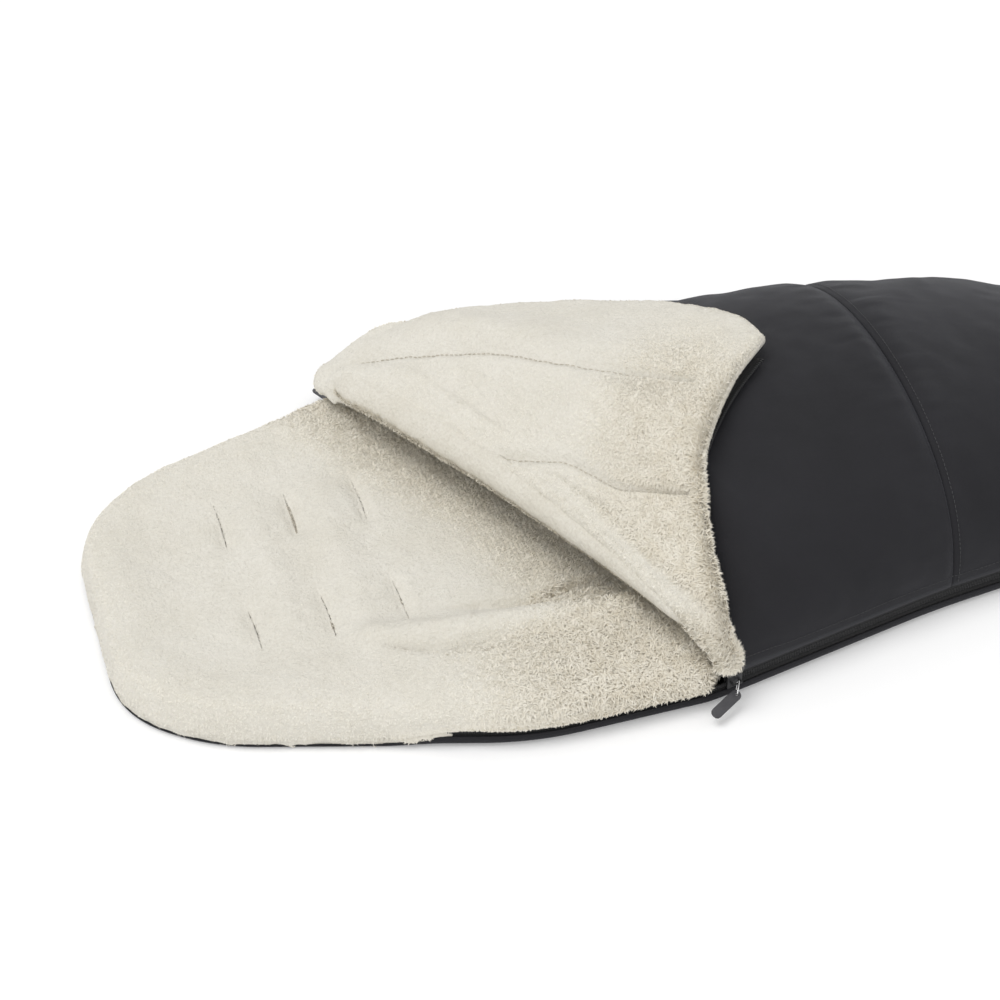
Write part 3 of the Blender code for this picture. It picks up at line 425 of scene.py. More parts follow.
def bump(tree, shader, height, distance, strength=1.0, under=None):
    made = tree.nodes.new("ShaderNodeBump")
    made.inputs["Strength"].default_value = strength
    made.inputs["Distance"].default_value = distance
    tree.links.new(height, made.inputs["Height"])
    if under is not None:
        tree.links.new(under, made.inputs["Normal"])
    tree.links.new(made.outputs["Normal"], shader.inputs["Normal"])
    return made.outputs["Normal"]


def object_place(tree):
    return tree.nodes.new("ShaderNodeTexCoord").outputs["Object"]


def attribute(tree, name):
    made = tree.nodes.new("ShaderNodeAttribute")
    made.attribute_name = name
    return made.outputs["Fac"]


def fleece_material():
    """Deep pile over its backing, soft and matte: painted a little darker between the locks for the shade
    there, and browner where fluffy, partly as painted shade.
    """
    made, tree, shader = start_material("fleece", (0.77, 0.73, 0.64), 1.0, sheen=0.25)
    shader.inputs["Specular IOR Level"].default_value = 0.1
    place = object_place(tree)
    fine = noise(tree, place, 420, 6, 0.65)
    wide = noise(tree, place, 22, 3)
    smooth = ramp(tree, fine, (0.30, (0.78, 0.745, 0.66)), (0.62, (0.86, 0.83, 0.75)))
    # The browner colour of fluffy fleece, partly painted shade in its deep pile and in the fold's hollow
    curly_shaded = ramp(tree, fine, (0.30, (0.60, 0.545, 0.435)), (0.66, (0.82, 0.78, 0.68)))
    share = combine(tree, "MULTIPLY", attribute(tree, "fluff"), 0.9)
    colour = blend_colours(tree, share, smooth, curly_shaded)
    shade = ramp(tree, wide, (0.35, (0.955, 0.95, 0.935)), (0.65, (1.0, 1.0, 1.0)))
    tree.links.new(multiply_colours(tree, colour, shade), shader.inputs["Base Color"])
    lifted = bump(tree, shader, noise(tree, place, 180, 4, 0.6), 0.0035, 0.6)
    bump(tree, shader, fine, 0.0022, 0.8, lifted)
    return made


FLEECE = fleece_material()


def slot_places():
    """The middle of each harness slot, as (station, side)."""
    rows = [SLOT_FIRST + SLOT_PITCH * k for k in range(3)]
    pairs = [(station, side * SLOT_SPREAD / 2) for station in rows for side in (-1, 1)]
    return pairs + [(CROTCH_STATION, 0.0)]


def near_slots(x, y):
    """How near points are to a slit, from 0 to 1."""
    close = 0.0
    for station, side in slot_places():
        across = (x - (station - LENGTH / 2)) / SLOT_DIP_WIDTH
        along = np.maximum(np.abs(y - side) - SLOT_LENGTH / 2 + SLOT_DIP_SHORT, 0) / SLOT_DIP_FADE
        close = np.maximum(close, np.exp(-across ** 2 - along ** 2))
    return close


def pad_columns():
    """Around the outline: points of the middle line and of the outline, how far apart they are, and
    the direction from one to the other."""
    half = []
    run, last = 0.0, RUNS[-1]
    while run < last:
        half.append(run)
        station = float(np.interp(run, RUNS, OUTLINE[:, 0]))
        run += FINE_STEP if FINE_FROM < station < FINE_TO else COARSE_STEP
    near, _ = edge_at(np.array(half + [last]))
    edge = np.concatenate([near * (1, -1), near[-2:0:-1]])
    middle = np.stack([np.clip(edge[:, 0], HEAD_CENTRE, TOE_CENTRE), np.zeros(len(edge))], -1)
    reach = np.linalg.norm(edge - middle, axis=1)
    return middle, edge, reach, (edge - middle) / reach[:, None]


def ring_points(middle, outward, reach, height):
    """A ring of points so far out from the middle line."""
    flat = middle + outward * np.reshape(reach, (-1, 1))
    return np.stack([flat[:, 0] - LENGTH / 2, flat[:, 1], height * np.ones(len(flat))], -1)


def bed_height(station):
    return mix(HEAD_BED_HEIGHT, BED_HEIGHT, fade_in(station, *BED_FADE))


def hem_rise(station):
    """How far the hem has come up from the head's low one, from 0 to 1."""
    return fade_in(station, HEM_RISE[0], HEM_RISE[1] - HEM_RISE[0])


def pad_profile(edge):
    """The bed's edge, and rows of insets and heights from there out to the hem."""
    station, near = edge[:, 0], edge[:, 1] < 0
    start, end = (np.where(near, NEAR_TUCK[k], FAR_TUCK[k]) for k in (0, 1))
    tuck = fade_in(station, start, end - start)
    over = stretch(station, np.where(near, *HANG_START), np.where(near, *HANG_LENGTH), start, HANG_FADE)
    crease = np.interp(station, *zip(CREASE_FROM, CREASE_TO))
    wide = np.where(near, stretch(station, *WIDE_STRETCH), 0)
    at_head = 1 - fade_in(station, *ROLL_FADE)
    band = mix(ROLL_BAND + TUCK_INSET * tuck * 0.4, HEAD_ROLL_BAND, at_head)
    band = mix(band, half_width(station) + crease, wide)
    bed, high = bed_height(station), ROLL_HEIGHT - TUCK_DROP * tuck
    slanted = 1 - hem_rise(station)
    side = mix(HEAD_PAD_INSET, PAD_INSET, fade_in(station, *SIDE_FADE)) + TUCK_INSET * tuck
    top = mix(ROLL_TOP_INSET, WIDE_TOP_INSET, wide) + TUCK_INSET * tuck * (1 - wide * 0.5)
    low = mix(HEAD_HEM, PAD_HEM, hem_rise(station))
    profile = (
        (band, bed),
        (mix(band, top, mix(0.5, 0.22, wide)), mix(bed, high, mix(0.50, 0.60, wide))),
        (mix(band, top, mix(0.75, 0.55, wide)), mix(bed, high, mix(0.86, 0.92, wide))),
        (top, high),
        (mix(side, top, 0.42), high - mix(TOP_FALL, WIDE_TOP_FALL, wide)),
        (mix(side, top, 0.10) + HEAD_SLANT_IN * slanted - SHOULDER_SWELL * over, mix(high, low, 0.34)),
        (side - HEAD_SLANT_OUT * slanted - SIDE_SWELL * over, mix(high, low, mix(0.72, 0.69, over))),
        (side - FOOT_SWELL * over, mix(high, low, mix(0.86, 0.80, over))),
        (side + HEM_TURN, low),
    )
    rows = np.linspace(0, len(profile) - 1, 40)
    knots = np.arange(len(profile))

    def through(values):
        values = np.stack(np.broadcast_arrays(*values))
        return np.stack([curve(np.stack([knots, column], -1), rows) for column in values.T], 1)

    return band, *(through(values) for values in zip(*profile))


def beyond_mouth(x, y):
    """How far points are from the cover's edge towards the foot."""
    return (x - MOUTH_POINT[0]) * MOUTH_AHEAD[0] + (y - MOUTH_POINT[1]) * MOUTH_AHEAD[1]


def hollow_at(x, y):
    """How deep in the shade of the fold points of the bed are, from 0 to 1."""
    return fade_in(beyond_mouth(x, y), *HOLLOW_FADE)


def distance_to(points, line, fading=0.0):
    """The distance from each point to a line of points, growing towards the line's ends where it
    fades out."""
    best = np.full(points.shape[:-1], 1.0)
    line = np.asarray(line, float)
    marks = np.concatenate([[0], np.cumsum(np.linalg.norm(np.diff(line, axis=0), axis=1))])
    for start, end, mark in zip(line, line[1:], marks):
        along = end - start
        t = np.clip(((points - start) @ along) / (along @ along), 0, 1)
        at = (mark + t * np.linalg.norm(along)) / marks[-1] * 2 - 1
        away = np.linalg.norm(points - start - t[..., None] * along, axis=-1)
        best = np.minimum(best, away + fading * 0.016 * at ** 4)
    return best


def pad_points():
    """The whole pad as rows of points around the outline, and how fluffy each is, which also sets its painted
    shade.
    """
    middle, edge, reach, outward = pad_columns()
    band, insets, heights = pad_profile(edge)
    shares = np.linspace(0, 1, 50)[:-1] ** 0.9
    rows = [middle + outward * ((reach - band) * share)[:, None] for share in shares]
    rows += [middle + outward * (reach - inset)[:, None] for inset in insets]
    flat = np.stack(rows)
    station, y = flat[..., 0], flat[..., 1]
    x = station - LENGTH / 2
    bed = bed_height(station[:len(shares)])
    height = np.concatenate([bed, heights])
    share = np.concatenate([np.broadcast_to(shares[:, None], bed.shape), np.ones_like(heights)])
    for row in range(2):
        between = SLOT_FIRST + SLOT_PITCH * (row + 0.5)
        ridge = np.exp(-((station - between) / RIDGE_LENGTH) ** 2) * (1 - fade_in(np.abs(y), *RIDGE_FADE))
        height = height + RIDGE_HEIGHT * ridge
    points = np.stack([x, y, height], -1)
    on_top = fade_in(height, *TOP_FADE)
    points[..., 2] -= SLOT_DIP * near_slots(x, y) * (1 - fade_in(share, *DIP_FADE))
    puff = np.exp(-(distance_to(flat, PUFF_LINE, PUFF_FADING) / PUFF_REACH) ** 2)
    points[..., 2] += PUFF_HEIGHT * puff * on_top
    for line, depth, half in CREASES:
        points[..., 2] -= depth * np.exp(-(distance_to(flat, line, CREASE_FADING) / half) ** 2) * on_top
    points[..., 2] += bumps(points, PAD_LUMPS) * on_top
    outer = np.zeros_like(points)
    outer[..., :2] = outward
    at_side = (share >= 1) * (1 - on_top)
    points += outer * (bumps(points, EDGE_LUMPS) * at_side)[..., None]
    # Longer curls and a browner colour: painted shade under the fold, along the seam in its hollow and on the
    # near slope
    fluff = fade_in(-y, *SLOPE_FADE) * stretch(station, *FLUFF_STRETCH)
    fluff = np.maximum(fluff, HOLLOW_FLUFF_AND_SHADE * hollow_at(x, y))
    fluff = np.maximum(fluff, np.exp(-(distance_to(flat, HOLLOW_SEAM) / SEAM_FLUFF_AND_SHADE_REACH) ** 2))
    fluff = np.maximum(fluff, SIDE_FLUFF * at_side * fade_in(station, *SIDE_FLUFF_FADE))
    under = [points[-1] * (1, 1, 0) + (0, 0, PAD_FLOOR) - outer[-1] * UNDER_INSET]
    under += [ring_points(middle, outward, reach * part, PAD_FLOOR) for part in (0.6, 0.0)]
    points = np.concatenate([points, np.stack(under)])
    return points, np.concatenate([fluff, np.zeros((len(under), fluff.shape[1]))])


def cut_slits(pad):
    """Narrow bowed slits through the pad, one for each harness strap."""
    shape = bmesh.new()
    corners = ((-1, SLIT_LOW), (1, SLIT_LOW), (1, SLIT_HIGH), (-1, SLIT_HIGH))
    for station, side in slot_places():
        rings = []
        for t in np.arange(9) / 8 * 2 - 1:
            half = SLIT_WIDTH / 2 * (1 - 0.55 * abs(t) ** 3)
            x = station - LENGTH / 2 + SLIT_BOW * (1 - t * t)
            y = side + t * SLOT_LENGTH / 2
            rings.append([shape.verts.new((x + a * half, y, z)) for a, z in corners])
        for one, two in zip(rings, rings[1:]):
            for k in range(4):
                shape.faces.new((one[k], one[(k + 1) % 4], two[(k + 1) % 4], two[k]))
        shape.faces.new(rings[0][::-1])
        shape.faces.new(rings[-1])
    bmesh.ops.recalc_face_normals(shape, faces=shape.faces)
    mesh = bpy.data.meshes.new("slits")
    shape.to_mesh(mesh)
    shape.free()
    cutter = bpy.data.objects.new("slits", mesh)
    bpy.context.scene.collection.objects.link(cutter)
    cut = pad.modifiers.new("slits", "BOOLEAN")
    cut.operation = "DIFFERENCE"
    cut.object = cutter
    cut.solver = "EXACT"
    apply_modifiers(pad)
    bpy.data.objects.remove(cutter)


def apply_modifiers(piece):
    bpy.ops.object.select_all(action="DESELECT")
    piece.select_set(True)
    bpy.context.view_layer.objects.active = piece
    for modifier in list(piece.modifiers):
        bpy.ops.object.modifier_apply(modifier=modifier.name)
    piece.select_set(False)


pad_rows, pad_fluff_and_shade = pad_points()
base_fleece = add_piece("base_fleece", pad_rows.reshape(-1, 3), grid_faces(*pad_rows.shape[:2], wrap=True),
                        FLEECE, fluff=pad_fluff_and_shade)
cut_slits(base_fleece)
dress(base_fleece, "base_and_cover", "fleece", "base_lining", "base_padding")

# Pile of the bed
# The locks of the fleece, each a narrow bent ribbon rooted in the backing: short and smooth over
# the bed, long and curly on the near slope and in the shade of the fold, thin along the slits.
LOCK_LENGTH, LOCK_WIDTH, LOCK_RISE = 0.0027, 0.00082, 0.42
CURL_LENGTH, CURL_WIDTH, CURL_RISE = 0.0068, 0.00092, 0.80
ROOT_DEPTH, ROOT_WIDTH_SHARE = 0.0008, 0.75
# How far locks vary from their size, and how far smooth and curly ones turn and droop
LOCK_SPREAD, LOCK_TURN, CURL_TURN, LOCK_DROOP, CURL_DROOP = (0.65, 1.35), 0.8, 1.9, 0.5, 1.5
PILE_COUNT, CURL_COUNT, FRINGE_COUNT = 51000, 31000, 29000
COMBED, HANGING = (0, 0, -0.5), (0, 0, -1.6)
# The share of locks that grow under the cover, how far in that share is reached, and the last
# station with any
COVERED_SHARE, COVERED_REACH, LAST_LOCK = 0.16, 0.10, 0.80
# The thin pile along a slit: half its width, its shift towards the foot, and its missing share
SLIT_GAP, SLIT_GAP_SHIFT, SLIT_GAP_SHARE = 0.0020, 0.0008, 0.28
# The heights over which the pile starts on the side, and the stations from which it does so
SIDE_PILE_FADE, SIDE_PILE_FROM = (0.0168, 0.0020), (0.235, 0.04)
# The stations and lengths that bound the fringe, and how high it starts
FRINGE_START, FRINGE_RISE, FRINGE_FALL, FRINGE_INSET = 0.192, 0.02, 0.01, 0.026
FRINGE_FOOT, HEAD_FRINGE_FOOT, HEAD_FRINGE_FADE = 0.0176, 0.0085, (0.215, 0.10)
FRINGE_LIFT, FRINGE_BAND, HEAD_FRINGE_BAND = 0.0020, 0.0042, 0.004


def pile_material():
    """Soft locks, painted darker and browner towards their roots for the shade down in the pile, most of all
    where the pile is long.
    """
    made, tree, shader = start_material("pile", (0.78, 0.74, 0.66), 1.0, sheen=0.2)
    shader.inputs["Specular IOR Level"].default_value = 0.05
    tip, tone, fluff = (attribute(tree, layer) for layer in ("tip", "tone", "fluff"))
    short = ramp(tree, tip, (0.0, (0.83, 0.795, 0.71)), (0.6, (0.88, 0.85, 0.77)))
    curly_shaded = ramp(tree, tip, (0.0, (0.66, 0.595, 0.475)), (0.45, (0.82, 0.77, 0.665)),
                 (1.0, (0.90, 0.865, 0.775)))
    colour = blend_colours(tree, fluff, short, curly_shaded)
    patches = noise(tree, object_place(tree), 75, 3)
    patches = ramp(tree, patches, (0.35, (0.93, 0.915, 0.885)), (0.62, (1.0, 1.0, 1.0)))
    colour = blend_colours(tree, fluff, colour, multiply_colours(tree, colour, patches))
    single = ramp(tree, tone, (0.0, (0.92, 0.91, 0.885)), (1.0, (1.03, 1.03, 1.03)))
    tree.links.new(multiply_colours(tree, colour, single), shader.inputs["Base Color"])
    return made


PILE = pile_material()


def scatter(points, weight, count, seed, outwards=(0, 0, 1)):
    """Places spread over a grid of points, their normals, and a reader of values at them.
    outwards is a direction that the normals mostly share, or a grid with one for each point."""
    random = np.random.default_rng(seed)
    corners = points[:-1, :-1], points[:-1, 1:], points[1:, :-1], points[1:, 1:]
    normal = np.cross(corners[3] - corners[0], corners[1] - corners[2])
    area = np.linalg.norm(normal, axis=-1)
    each = np.ndim(outwards) > 1
    outwards = np.broadcast_to(np.asarray(outwards, float), points.shape)[:-1, :-1]
    facing = np.sum(normal * outwards, axis=-1, keepdims=True)
    normal = normal * np.sign(facing if each else facing.sum()) / np.maximum(area, 1e-15)[..., None]
    chance = (area * (weight[:-1, :-1] + weight[1:, 1:])).ravel()
    picked = random.choice(chance.size, count, p=chance / chance.sum())
    u, v = random.random((2, count, 1))

    def read(grid):
        corners = grid[:-1, :-1], grid[:-1, 1:], grid[1:, :-1], grid[1:, 1:]
        a, b, c, d = (part.reshape(chance.size, -1)[picked] for part in corners)
        return mix(mix(a, b, v), mix(c, d, v), u)

    return read(points), normal.reshape(-1, 3)[picked], read


def grow_pile(name, grid, weight, count, seed, body, joints, fluff, shorter=1.0, comb=(0, 0, 0),
              outwards=(0, 0, 1)):
    """A piece of pile on a grid of points: bent tapering ribbons, combed a little one way. Fluff and
    shorter are numbers, or work them out from a reader of grids at the roots."""
    roots, normals, read = scatter(grid, weight, count, seed, outwards)
    fluff, shorter = (value(read) if callable(value) else value for value in (fluff, shorter))
    random = np.random.default_rng(seed)
    fluff = np.broadcast_to(np.reshape(fluff, (-1, 1)), (count, 1))
    spread = random.uniform(*LOCK_SPREAD, (3, count, 1))
    length = mix(LOCK_LENGTH, CURL_LENGTH, fluff) * spread[0] * np.reshape(shorter, (-1, 1))
    width = mix(LOCK_WIDTH, CURL_WIDTH, fluff) * spread[1]
    slope = mix(LOCK_RISE, CURL_RISE, fluff) * spread[2]
    ahead = random.normal(size=(count, 3)) + np.asarray(comb, float) * 1.5
    ahead = unit(ahead - normals * np.sum(ahead * normals, axis=1, keepdims=True))
    curl = random.uniform(-1, 1, (count, 1)) * mix(LOCK_TURN, CURL_TURN, fluff) / joints
    droop = mix(LOCK_DROOP, CURL_DROOP, fluff) / joints
    at = roots - normals * ROOT_DEPTH
    points, tips = [], []
    for joint in range(joints):
        across = np.cross(normals, ahead) * width / 2 * (ROOT_WIDTH_SHARE if joint == 0 else 1.0)
        points += [at - across, at + across]
        tips += [joint / joints] * 2
        at = at + (ahead * np.cos(slope) + normals * np.sin(slope)) * length / joints
        ahead = unit(ahead * np.cos(curl) + np.cross(normals, ahead) * np.sin(curl))
        slope = slope - droop
    points, tips = points + [at], tips + [1.0]
    size = len(points)
    one = [(2 * k + 1, 2 * k, 2 * k + 2) for k in range(joints)]
    one += [(2 * k + 1, 2 * k + 2, 2 * k + 3) for k in range(joints - 1)]
    faces = (np.array(one)[None] + np.arange(count)[:, None, None] * size).reshape(-1, 3)
    tone = np.repeat(random.random(count), size)
    mesh = mesh_of(name, np.stack(points, 1).reshape(-1, 3), faces, tip=np.tile(tips, count),
                   tone=tone, fluff=np.repeat(fluff.ravel(), size))
    piece = place_mesh(name, mesh, PILE)
    dress(piece, body, "fleece")
    return piece


def bed_pile():
    """Where locks grow on the pad: everywhere in sight, sparsely under the cover."""
    rows, fluff = (np.concatenate([grid[:-3], grid[:-3, :1]], 1) for grid in (pad_rows, pad_fluff_and_shade))
    station = rows[..., 0] + LENGTH / 2
    under = beyond_mouth(rows[..., 0], rows[..., 1])
    weight = mix(1.0, COVERED_SHARE, ease(under / COVERED_REACH)) * (station < LAST_LOCK)
    slit = np.zeros_like(station)
    for place, side in slot_places():
        over = np.maximum(np.abs(rows[..., 1] - side) - SLOT_LENGTH / 2, 0) / SLIT_GAP
        across = (station - place - SLIT_GAP_SHIFT) / SLIT_GAP
        slit = np.maximum(slit, np.exp(-across ** 2 - over ** 2))
    weight = weight * (1 - SLIT_GAP_SHARE * slit)
    low = fade_in(rows[..., 2], *SIDE_PILE_FADE)
    return rows, fluff, weight * mix(1, low, fade_in(station, *SIDE_PILE_FROM))


pile_rows, pile_fluff_and_shade, pile_weight = bed_pile()
for name, seed in (("bed_pile_1", 61), ("bed_pile_2", 62)):
    grow_pile(name, pile_rows, pile_weight * (1.1 - pile_fluff_and_shade), PILE_COUNT, seed, "base_and_cover", 2,
              lambda read: read(pile_fluff_and_shade) * 0.8, comb=COMBED)
for name, seed in (("bed_curls_1", 63), ("bed_curls_2", 65)):
    grow_pile(name, pile_rows, pile_weight * (0.02 + pile_fluff_and_shade) ** 1.3, CURL_COUNT, seed,
              "base_and_cover", 3, lambda read: 0.15 + 0.85 * read(pile_fluff_and_shade), comb=COMBED)


def fringe_weight():
    """Where the pile hangs over the open half of a zip: low on the pad's sides, head to slider. The
    second grid tells how near its head end a place is, from 0 to 1."""
    station, height = pile_rows[..., 0] + LENGTH / 2, pile_rows[..., 2]
    inset = half_width(station) - np.abs(pile_rows[..., 1])
    last = np.where(pile_rows[..., 1] < 0, NEAR_TUCK[1], FAR_TUCK[0])
    beside = stretch(station, FRINGE_START, FRINGE_RISE, last, FRINGE_FALL) * (inset < FRINGE_INSET)
    low = 1 - fade_in(station, *HEAD_FRINGE_FADE)
    lowest = mix(FRINGE_FOOT, HEAD_FRINGE_FOOT, low)
    above = height - lowest - FRINGE_LIFT - FRINGE_LIFT * low
    band = np.exp(-(above / (FRINGE_BAND + HEAD_FRINGE_BAND * low)) ** 2)
    return beside * fade_in(height, lowest, 0.001) * band * (1 + 0.5 * low), low


hanging, at_start = fringe_weight()
grow_pile("bed_fringe", pile_rows, hanging, FRINGE_COUNT, 66, "base_and_cover", 3,
          lambda read: 0.30 + 0.6 * read(pile_fluff_and_shade),
          lambda read: (1.45 - 0.3 * read(pile_fluff_and_shade)) * (1 - 0.45 * read(at_start)), comb=HANGING)

# Base shell
# The tray of smooth black cloth under the pad: a flat back, softly rounded at the foot of its
# side. It shows as a thin line at the head, and stands higher where the zips are sewn to it.
SHELL = 0.0012
TRAY_CURVE, HEAD_CURVE, TRAY_WALL, HEAD_WALL = 0.0070, 0.0025, 0.0108, 0.0034
RIM_RISE, FLAT_INSET = 0.0003, 0.03
# The height and radius of the round that cloth is mapped on
ROUND_HEIGHT, ROUND_RADIUS = 0.03, 0.16


def shell_material():
    """Smooth tightly woven black cloth with a faint sheen."""
    made, tree, shader = start_material("shell", (0.018, 0.0175, 0.021), 0.62, sheen=0.10)
    shader.inputs["Sheen Tint"].default_value = (0.75, 0.77, 0.85, 1)
    shader.inputs["Specular IOR Level"].default_value = 0.22
    place = object_place(tree)
    cloth = tree.nodes.new("ShaderNodeUVMap")
    cloth.uv_map = "cloth"
    threads = []
    for turn in (0.61, -0.96):
        turned = tree.nodes.new("ShaderNodeMapping")
        turned.inputs["Rotation"].default_value = (0, 0, turn)
        tree.links.new(cloth.outputs["UV"], turned.inputs["Vector"])
        wave = tree.nodes.new("ShaderNodeTexWave")
        wave.inputs["Scale"].default_value = 420
        wave.inputs["Distortion"].default_value = 0.6
        wave.inputs["Detail"].default_value = 1.0
        tree.links.new(turned.outputs["Vector"], wave.inputs["Vector"])
        threads.append(wave.outputs["Fac"])
    weave = combine(tree, "MULTIPLY", *threads)
    broad = noise(tree, place, 9, 3)
    worn = ramp(tree, broad, (0.3, (0.0080, 0.0077, 0.0098)), (0.7, (0.0130, 0.0126, 0.0156)))
    light = ramp(tree, weave, (0.0, (0.80, 0.80, 0.80)), (0.8, (1.12, 1.12, 1.14)))
    tree.links.new(multiply_colours(tree, worn, light), shader.inputs["Base Color"])
    lifted = bump(tree, shader, noise(tree, place, 55, 3), 0.0012, 0.35)
    bump(tree, shader, weave, 0.00022, 0.7, lifted)
    return made


SHELL_CLOTH = shell_material()


def lay_cloth(piece):
    """A map of the cloth in metres: along the piece, and around it as if it were unrolled."""
    mesh = piece.data
    layer = mesh.uv_layers.new(name="cloth")
    at = np.zeros(len(mesh.vertices) * 3)
    mesh.vertices.foreach_get("co", at)
    x, y, z = at.reshape(-1, 3).T
    corner = np.zeros(len(mesh.loops), np.int32)
    mesh.loops.foreach_get("vertex_index", corner)
    spread = np.stack([x, np.arctan2(y, ROUND_HEIGHT + np.maximum(z, 0)) * ROUND_RADIUS], -1)
    layer.data.foreach_set("uv", spread[corner].astype(np.float32).ravel())


def tray_points():
    """Rings of the tray: its inside from the middle out and up, its rim, and its outside back."""
    middle, edge, reach, outward = pad_columns()
    rise = hem_rise(edge[:, 0])
    wall, curved = mix(HEAD_WALL, TRAY_WALL, rise), mix(HEAD_CURVE, TRAY_CURVE, rise)
    bend = curved - SHELL * 0.9
    rings = [(reach * part, SHELL) for part in (1.0, 0.5)]
    rings.append((FLAT_INSET + curved, SHELL))
    rings += [(curved - bend * math.sin(turn), curved - bend * math.cos(turn) + SHELL * 0.1)
              for turn in np.linspace(0, math.pi / 2, 6)]
    rings += [(SHELL, wall), (SHELL / 2, wall + RIM_RISE), (0.0, wall)]
    rings += [(curved - curved * math.sin(turn), curved - curved * math.cos(turn))
              for turn in np.linspace(math.pi / 2, 0, 8)]
    rings.append((FLAT_INSET + curved, 0.0))
    rings += [(reach * part, 0.0) for part in (0.5, 1.0)]
    return np.stack([ring_points(middle, outward, reach - inset, height) for inset, height in rings])


tray = tray_points()
base_outer = add_piece("base_outer", tray.reshape(-1, 3), grid_faces(*tray.shape[:2], wrap=True), SHELL_CLOTH)
cut_slits(base_outer)
lay_cloth(base_outer)
dress(base_outer, "base_and_cover", "shell", "base_shell")

# Slot stitching
# Each harness slit is bound with fine thread, sewn tight around its edge and almost lost in the
# pile. One loop of thread stands for a binding.
THREAD_RADIUS, THREAD_WAVE, THREAD_SUNK = 0.00042, 0.00022, 0.0042
THREAD_FALL = (0.24, 0.44)
SLOT_NODES = [f"{side}_slot_binding_{row}" for side in ("near", "far") for row in (1, 2, 3)]


def thread_material(name, low, high):
    """Twisted thread: fine slanted ridges, lighter and darker at random."""
    made, tree, shader = start_material(name, low, 0.8, sheen=0.2)
    place = object_place(tree)
    tint(tree, shader, noise(tree, place, 900, 2), low, high)
    bump(tree, shader, noise(tree, place, 1500, 2), 0.0002, 0.7)
    return made


THREAD = thread_material("thread", (0.32, 0.28, 0.22), (0.52, 0.47, 0.38))


def tube(path, radius, sides=6, closed=False):
    """Rings of points around a path, with the faces between them."""
    ahead = np.roll(path, -1, 0) - np.roll(path, 1, 0)
    if not closed:
        ahead[0], ahead[-1] = path[1] - path[0], path[-1] - path[-2]
    ahead = unit(ahead)
    aside = unit(np.cross(ahead, (0.0, 0.0, 1.0)))
    above = np.cross(aside, ahead)
    turn = np.arange(sides) * 2 * math.pi / sides
    spokes = aside[:, None] * np.cos(turn)[None, :, None] + above[:, None] * np.sin(turn)[None, :, None]
    rings = path[:, None] + spokes * radius
    if closed:
        rings = np.concatenate([rings, rings[:1]])
    return rings.reshape(-1, 3), grid_faces(len(rings), sides, wrap=True)


def joined(parts):
    """Several (points, faces) as one."""
    starts = np.cumsum([0] + [len(points) for points, _ in parts[:-1]])
    return (np.concatenate([points for points, _ in parts]),
            np.concatenate([faces + start for (_, faces), start in zip(parts, starts)]))


def slot_loop(station, side):
    """A wavy loop of thread around a slit."""
    turn = np.linspace(0, 2 * math.pi, 97)[:-1]
    half = SLIT_WIDTH / 2 + THREAD_RADIUS
    along = np.sign(np.sin(turn)) * np.abs(np.sin(turn)) ** 0.75 * (SLOT_LENGTH / 2 + THREAD_RADIUS)
    x = station - LENGTH / 2 + half * np.cos(turn) + SLIT_BOW * (1 - (along / (SLOT_LENGTH / 2)) ** 2)
    x = x + THREAD_WAVE * np.sin(turn * 40)
    height = np.interp(station, THREAD_FALL, (HEAD_BED_HEIGHT, BED_HEIGHT)) - THREAD_SUNK
    return tube(np.stack([x, side + along, np.full(len(x), height)], -1), THREAD_RADIUS, closed=True)


slot_thread = add_piece("slot_thread", *joined([slot_loop(*place) for place in slot_places()]), THREAD)
dress(slot_thread, "base_and_cover", "stitching", *SLOT_NODES, "crotch_slot_binding")

# Zip tapes
# Black woven tape along both sides of the mouth, one strip sewn inside the shell's wall and one
# inside the cover's hem, and the band that closes the toe between the zips.
ZIP_HEIGHT, TAPE_INSET, TAPE, TAPE_LOW, TAPE_HIGH = 0.0185, 0.0022, 0.0006, 0.0085, 0.0272
COIL_REACH, COIL_OVERLAP, COIL_PITCH, COIL_HOLD = 0.0026, 0.0006, 0.0016, 0.0012
OPEN_DROP, OPEN_FADE = 0.0023, 0.010
ZIP_HEAD, ZIP_FOOT = 0.2000, 0.8580
NEAR_SLIDER, FAR_SLIDER, SLIDER_HALF = 0.4659, 0.2570, 0.0068


def tape_material():
    """Black tape woven across in fine ribs."""
    made, tree, shader = start_material("tape", (0.013, 0.013, 0.0135), 0.85, sheen=0.08)
    shader.inputs["Specular IOR Level"].default_value = 0.2
    cloth = tree.nodes.new("ShaderNodeUVMap")
    cloth.uv_map = "cloth"
    ribs = tree.nodes.new("ShaderNodeTexWave")
    ribs.inputs["Scale"].default_value = 260
    ribs.inputs["Distortion"].default_value = 0.4
    tree.links.new(cloth.outputs["UV"], ribs.inputs["Vector"])
    tint(tree, shader, ribs.outputs["Fac"], (0.0095, 0.0095, 0.010), (0.017, 0.017, 0.0175), 0.1, 0.8)
    bump(tree, shader, ribs.outputs["Fac"], 0.00025, 0.8)
    return made


TAPE_CLOTH = tape_material()


def side_point(side, runs, inset, height):
    """Points beside the outline, on the near side where side is -1 and the far one where it is 1."""
    edge, inward = edge_at(runs)
    flat = edge + inward * np.asarray(inset)[..., None]
    return np.stack([flat[..., 0] - LENGTH / 2, side * flat[..., 1], height + 0 * flat[..., 0]], -1)


def open_drop(runs, slider):
    """How far the base's half of the chain hangs below the closed one, ahead of the slider."""
    return OPEN_DROP * ease((run_to(slider) + SLIDER_HALF - runs) / OPEN_FADE)


def strip(sections):
    """A thin strip through sections of four points, closed at its ends, as points and faces."""
    caps = np.array([[0, 1, 2, 3], np.arange(4)[::-1] + 4 * (len(sections) - 1)])
    return sections.reshape(-1, 3), np.concatenate([grid_faces(len(sections), 4, wrap=True), caps])


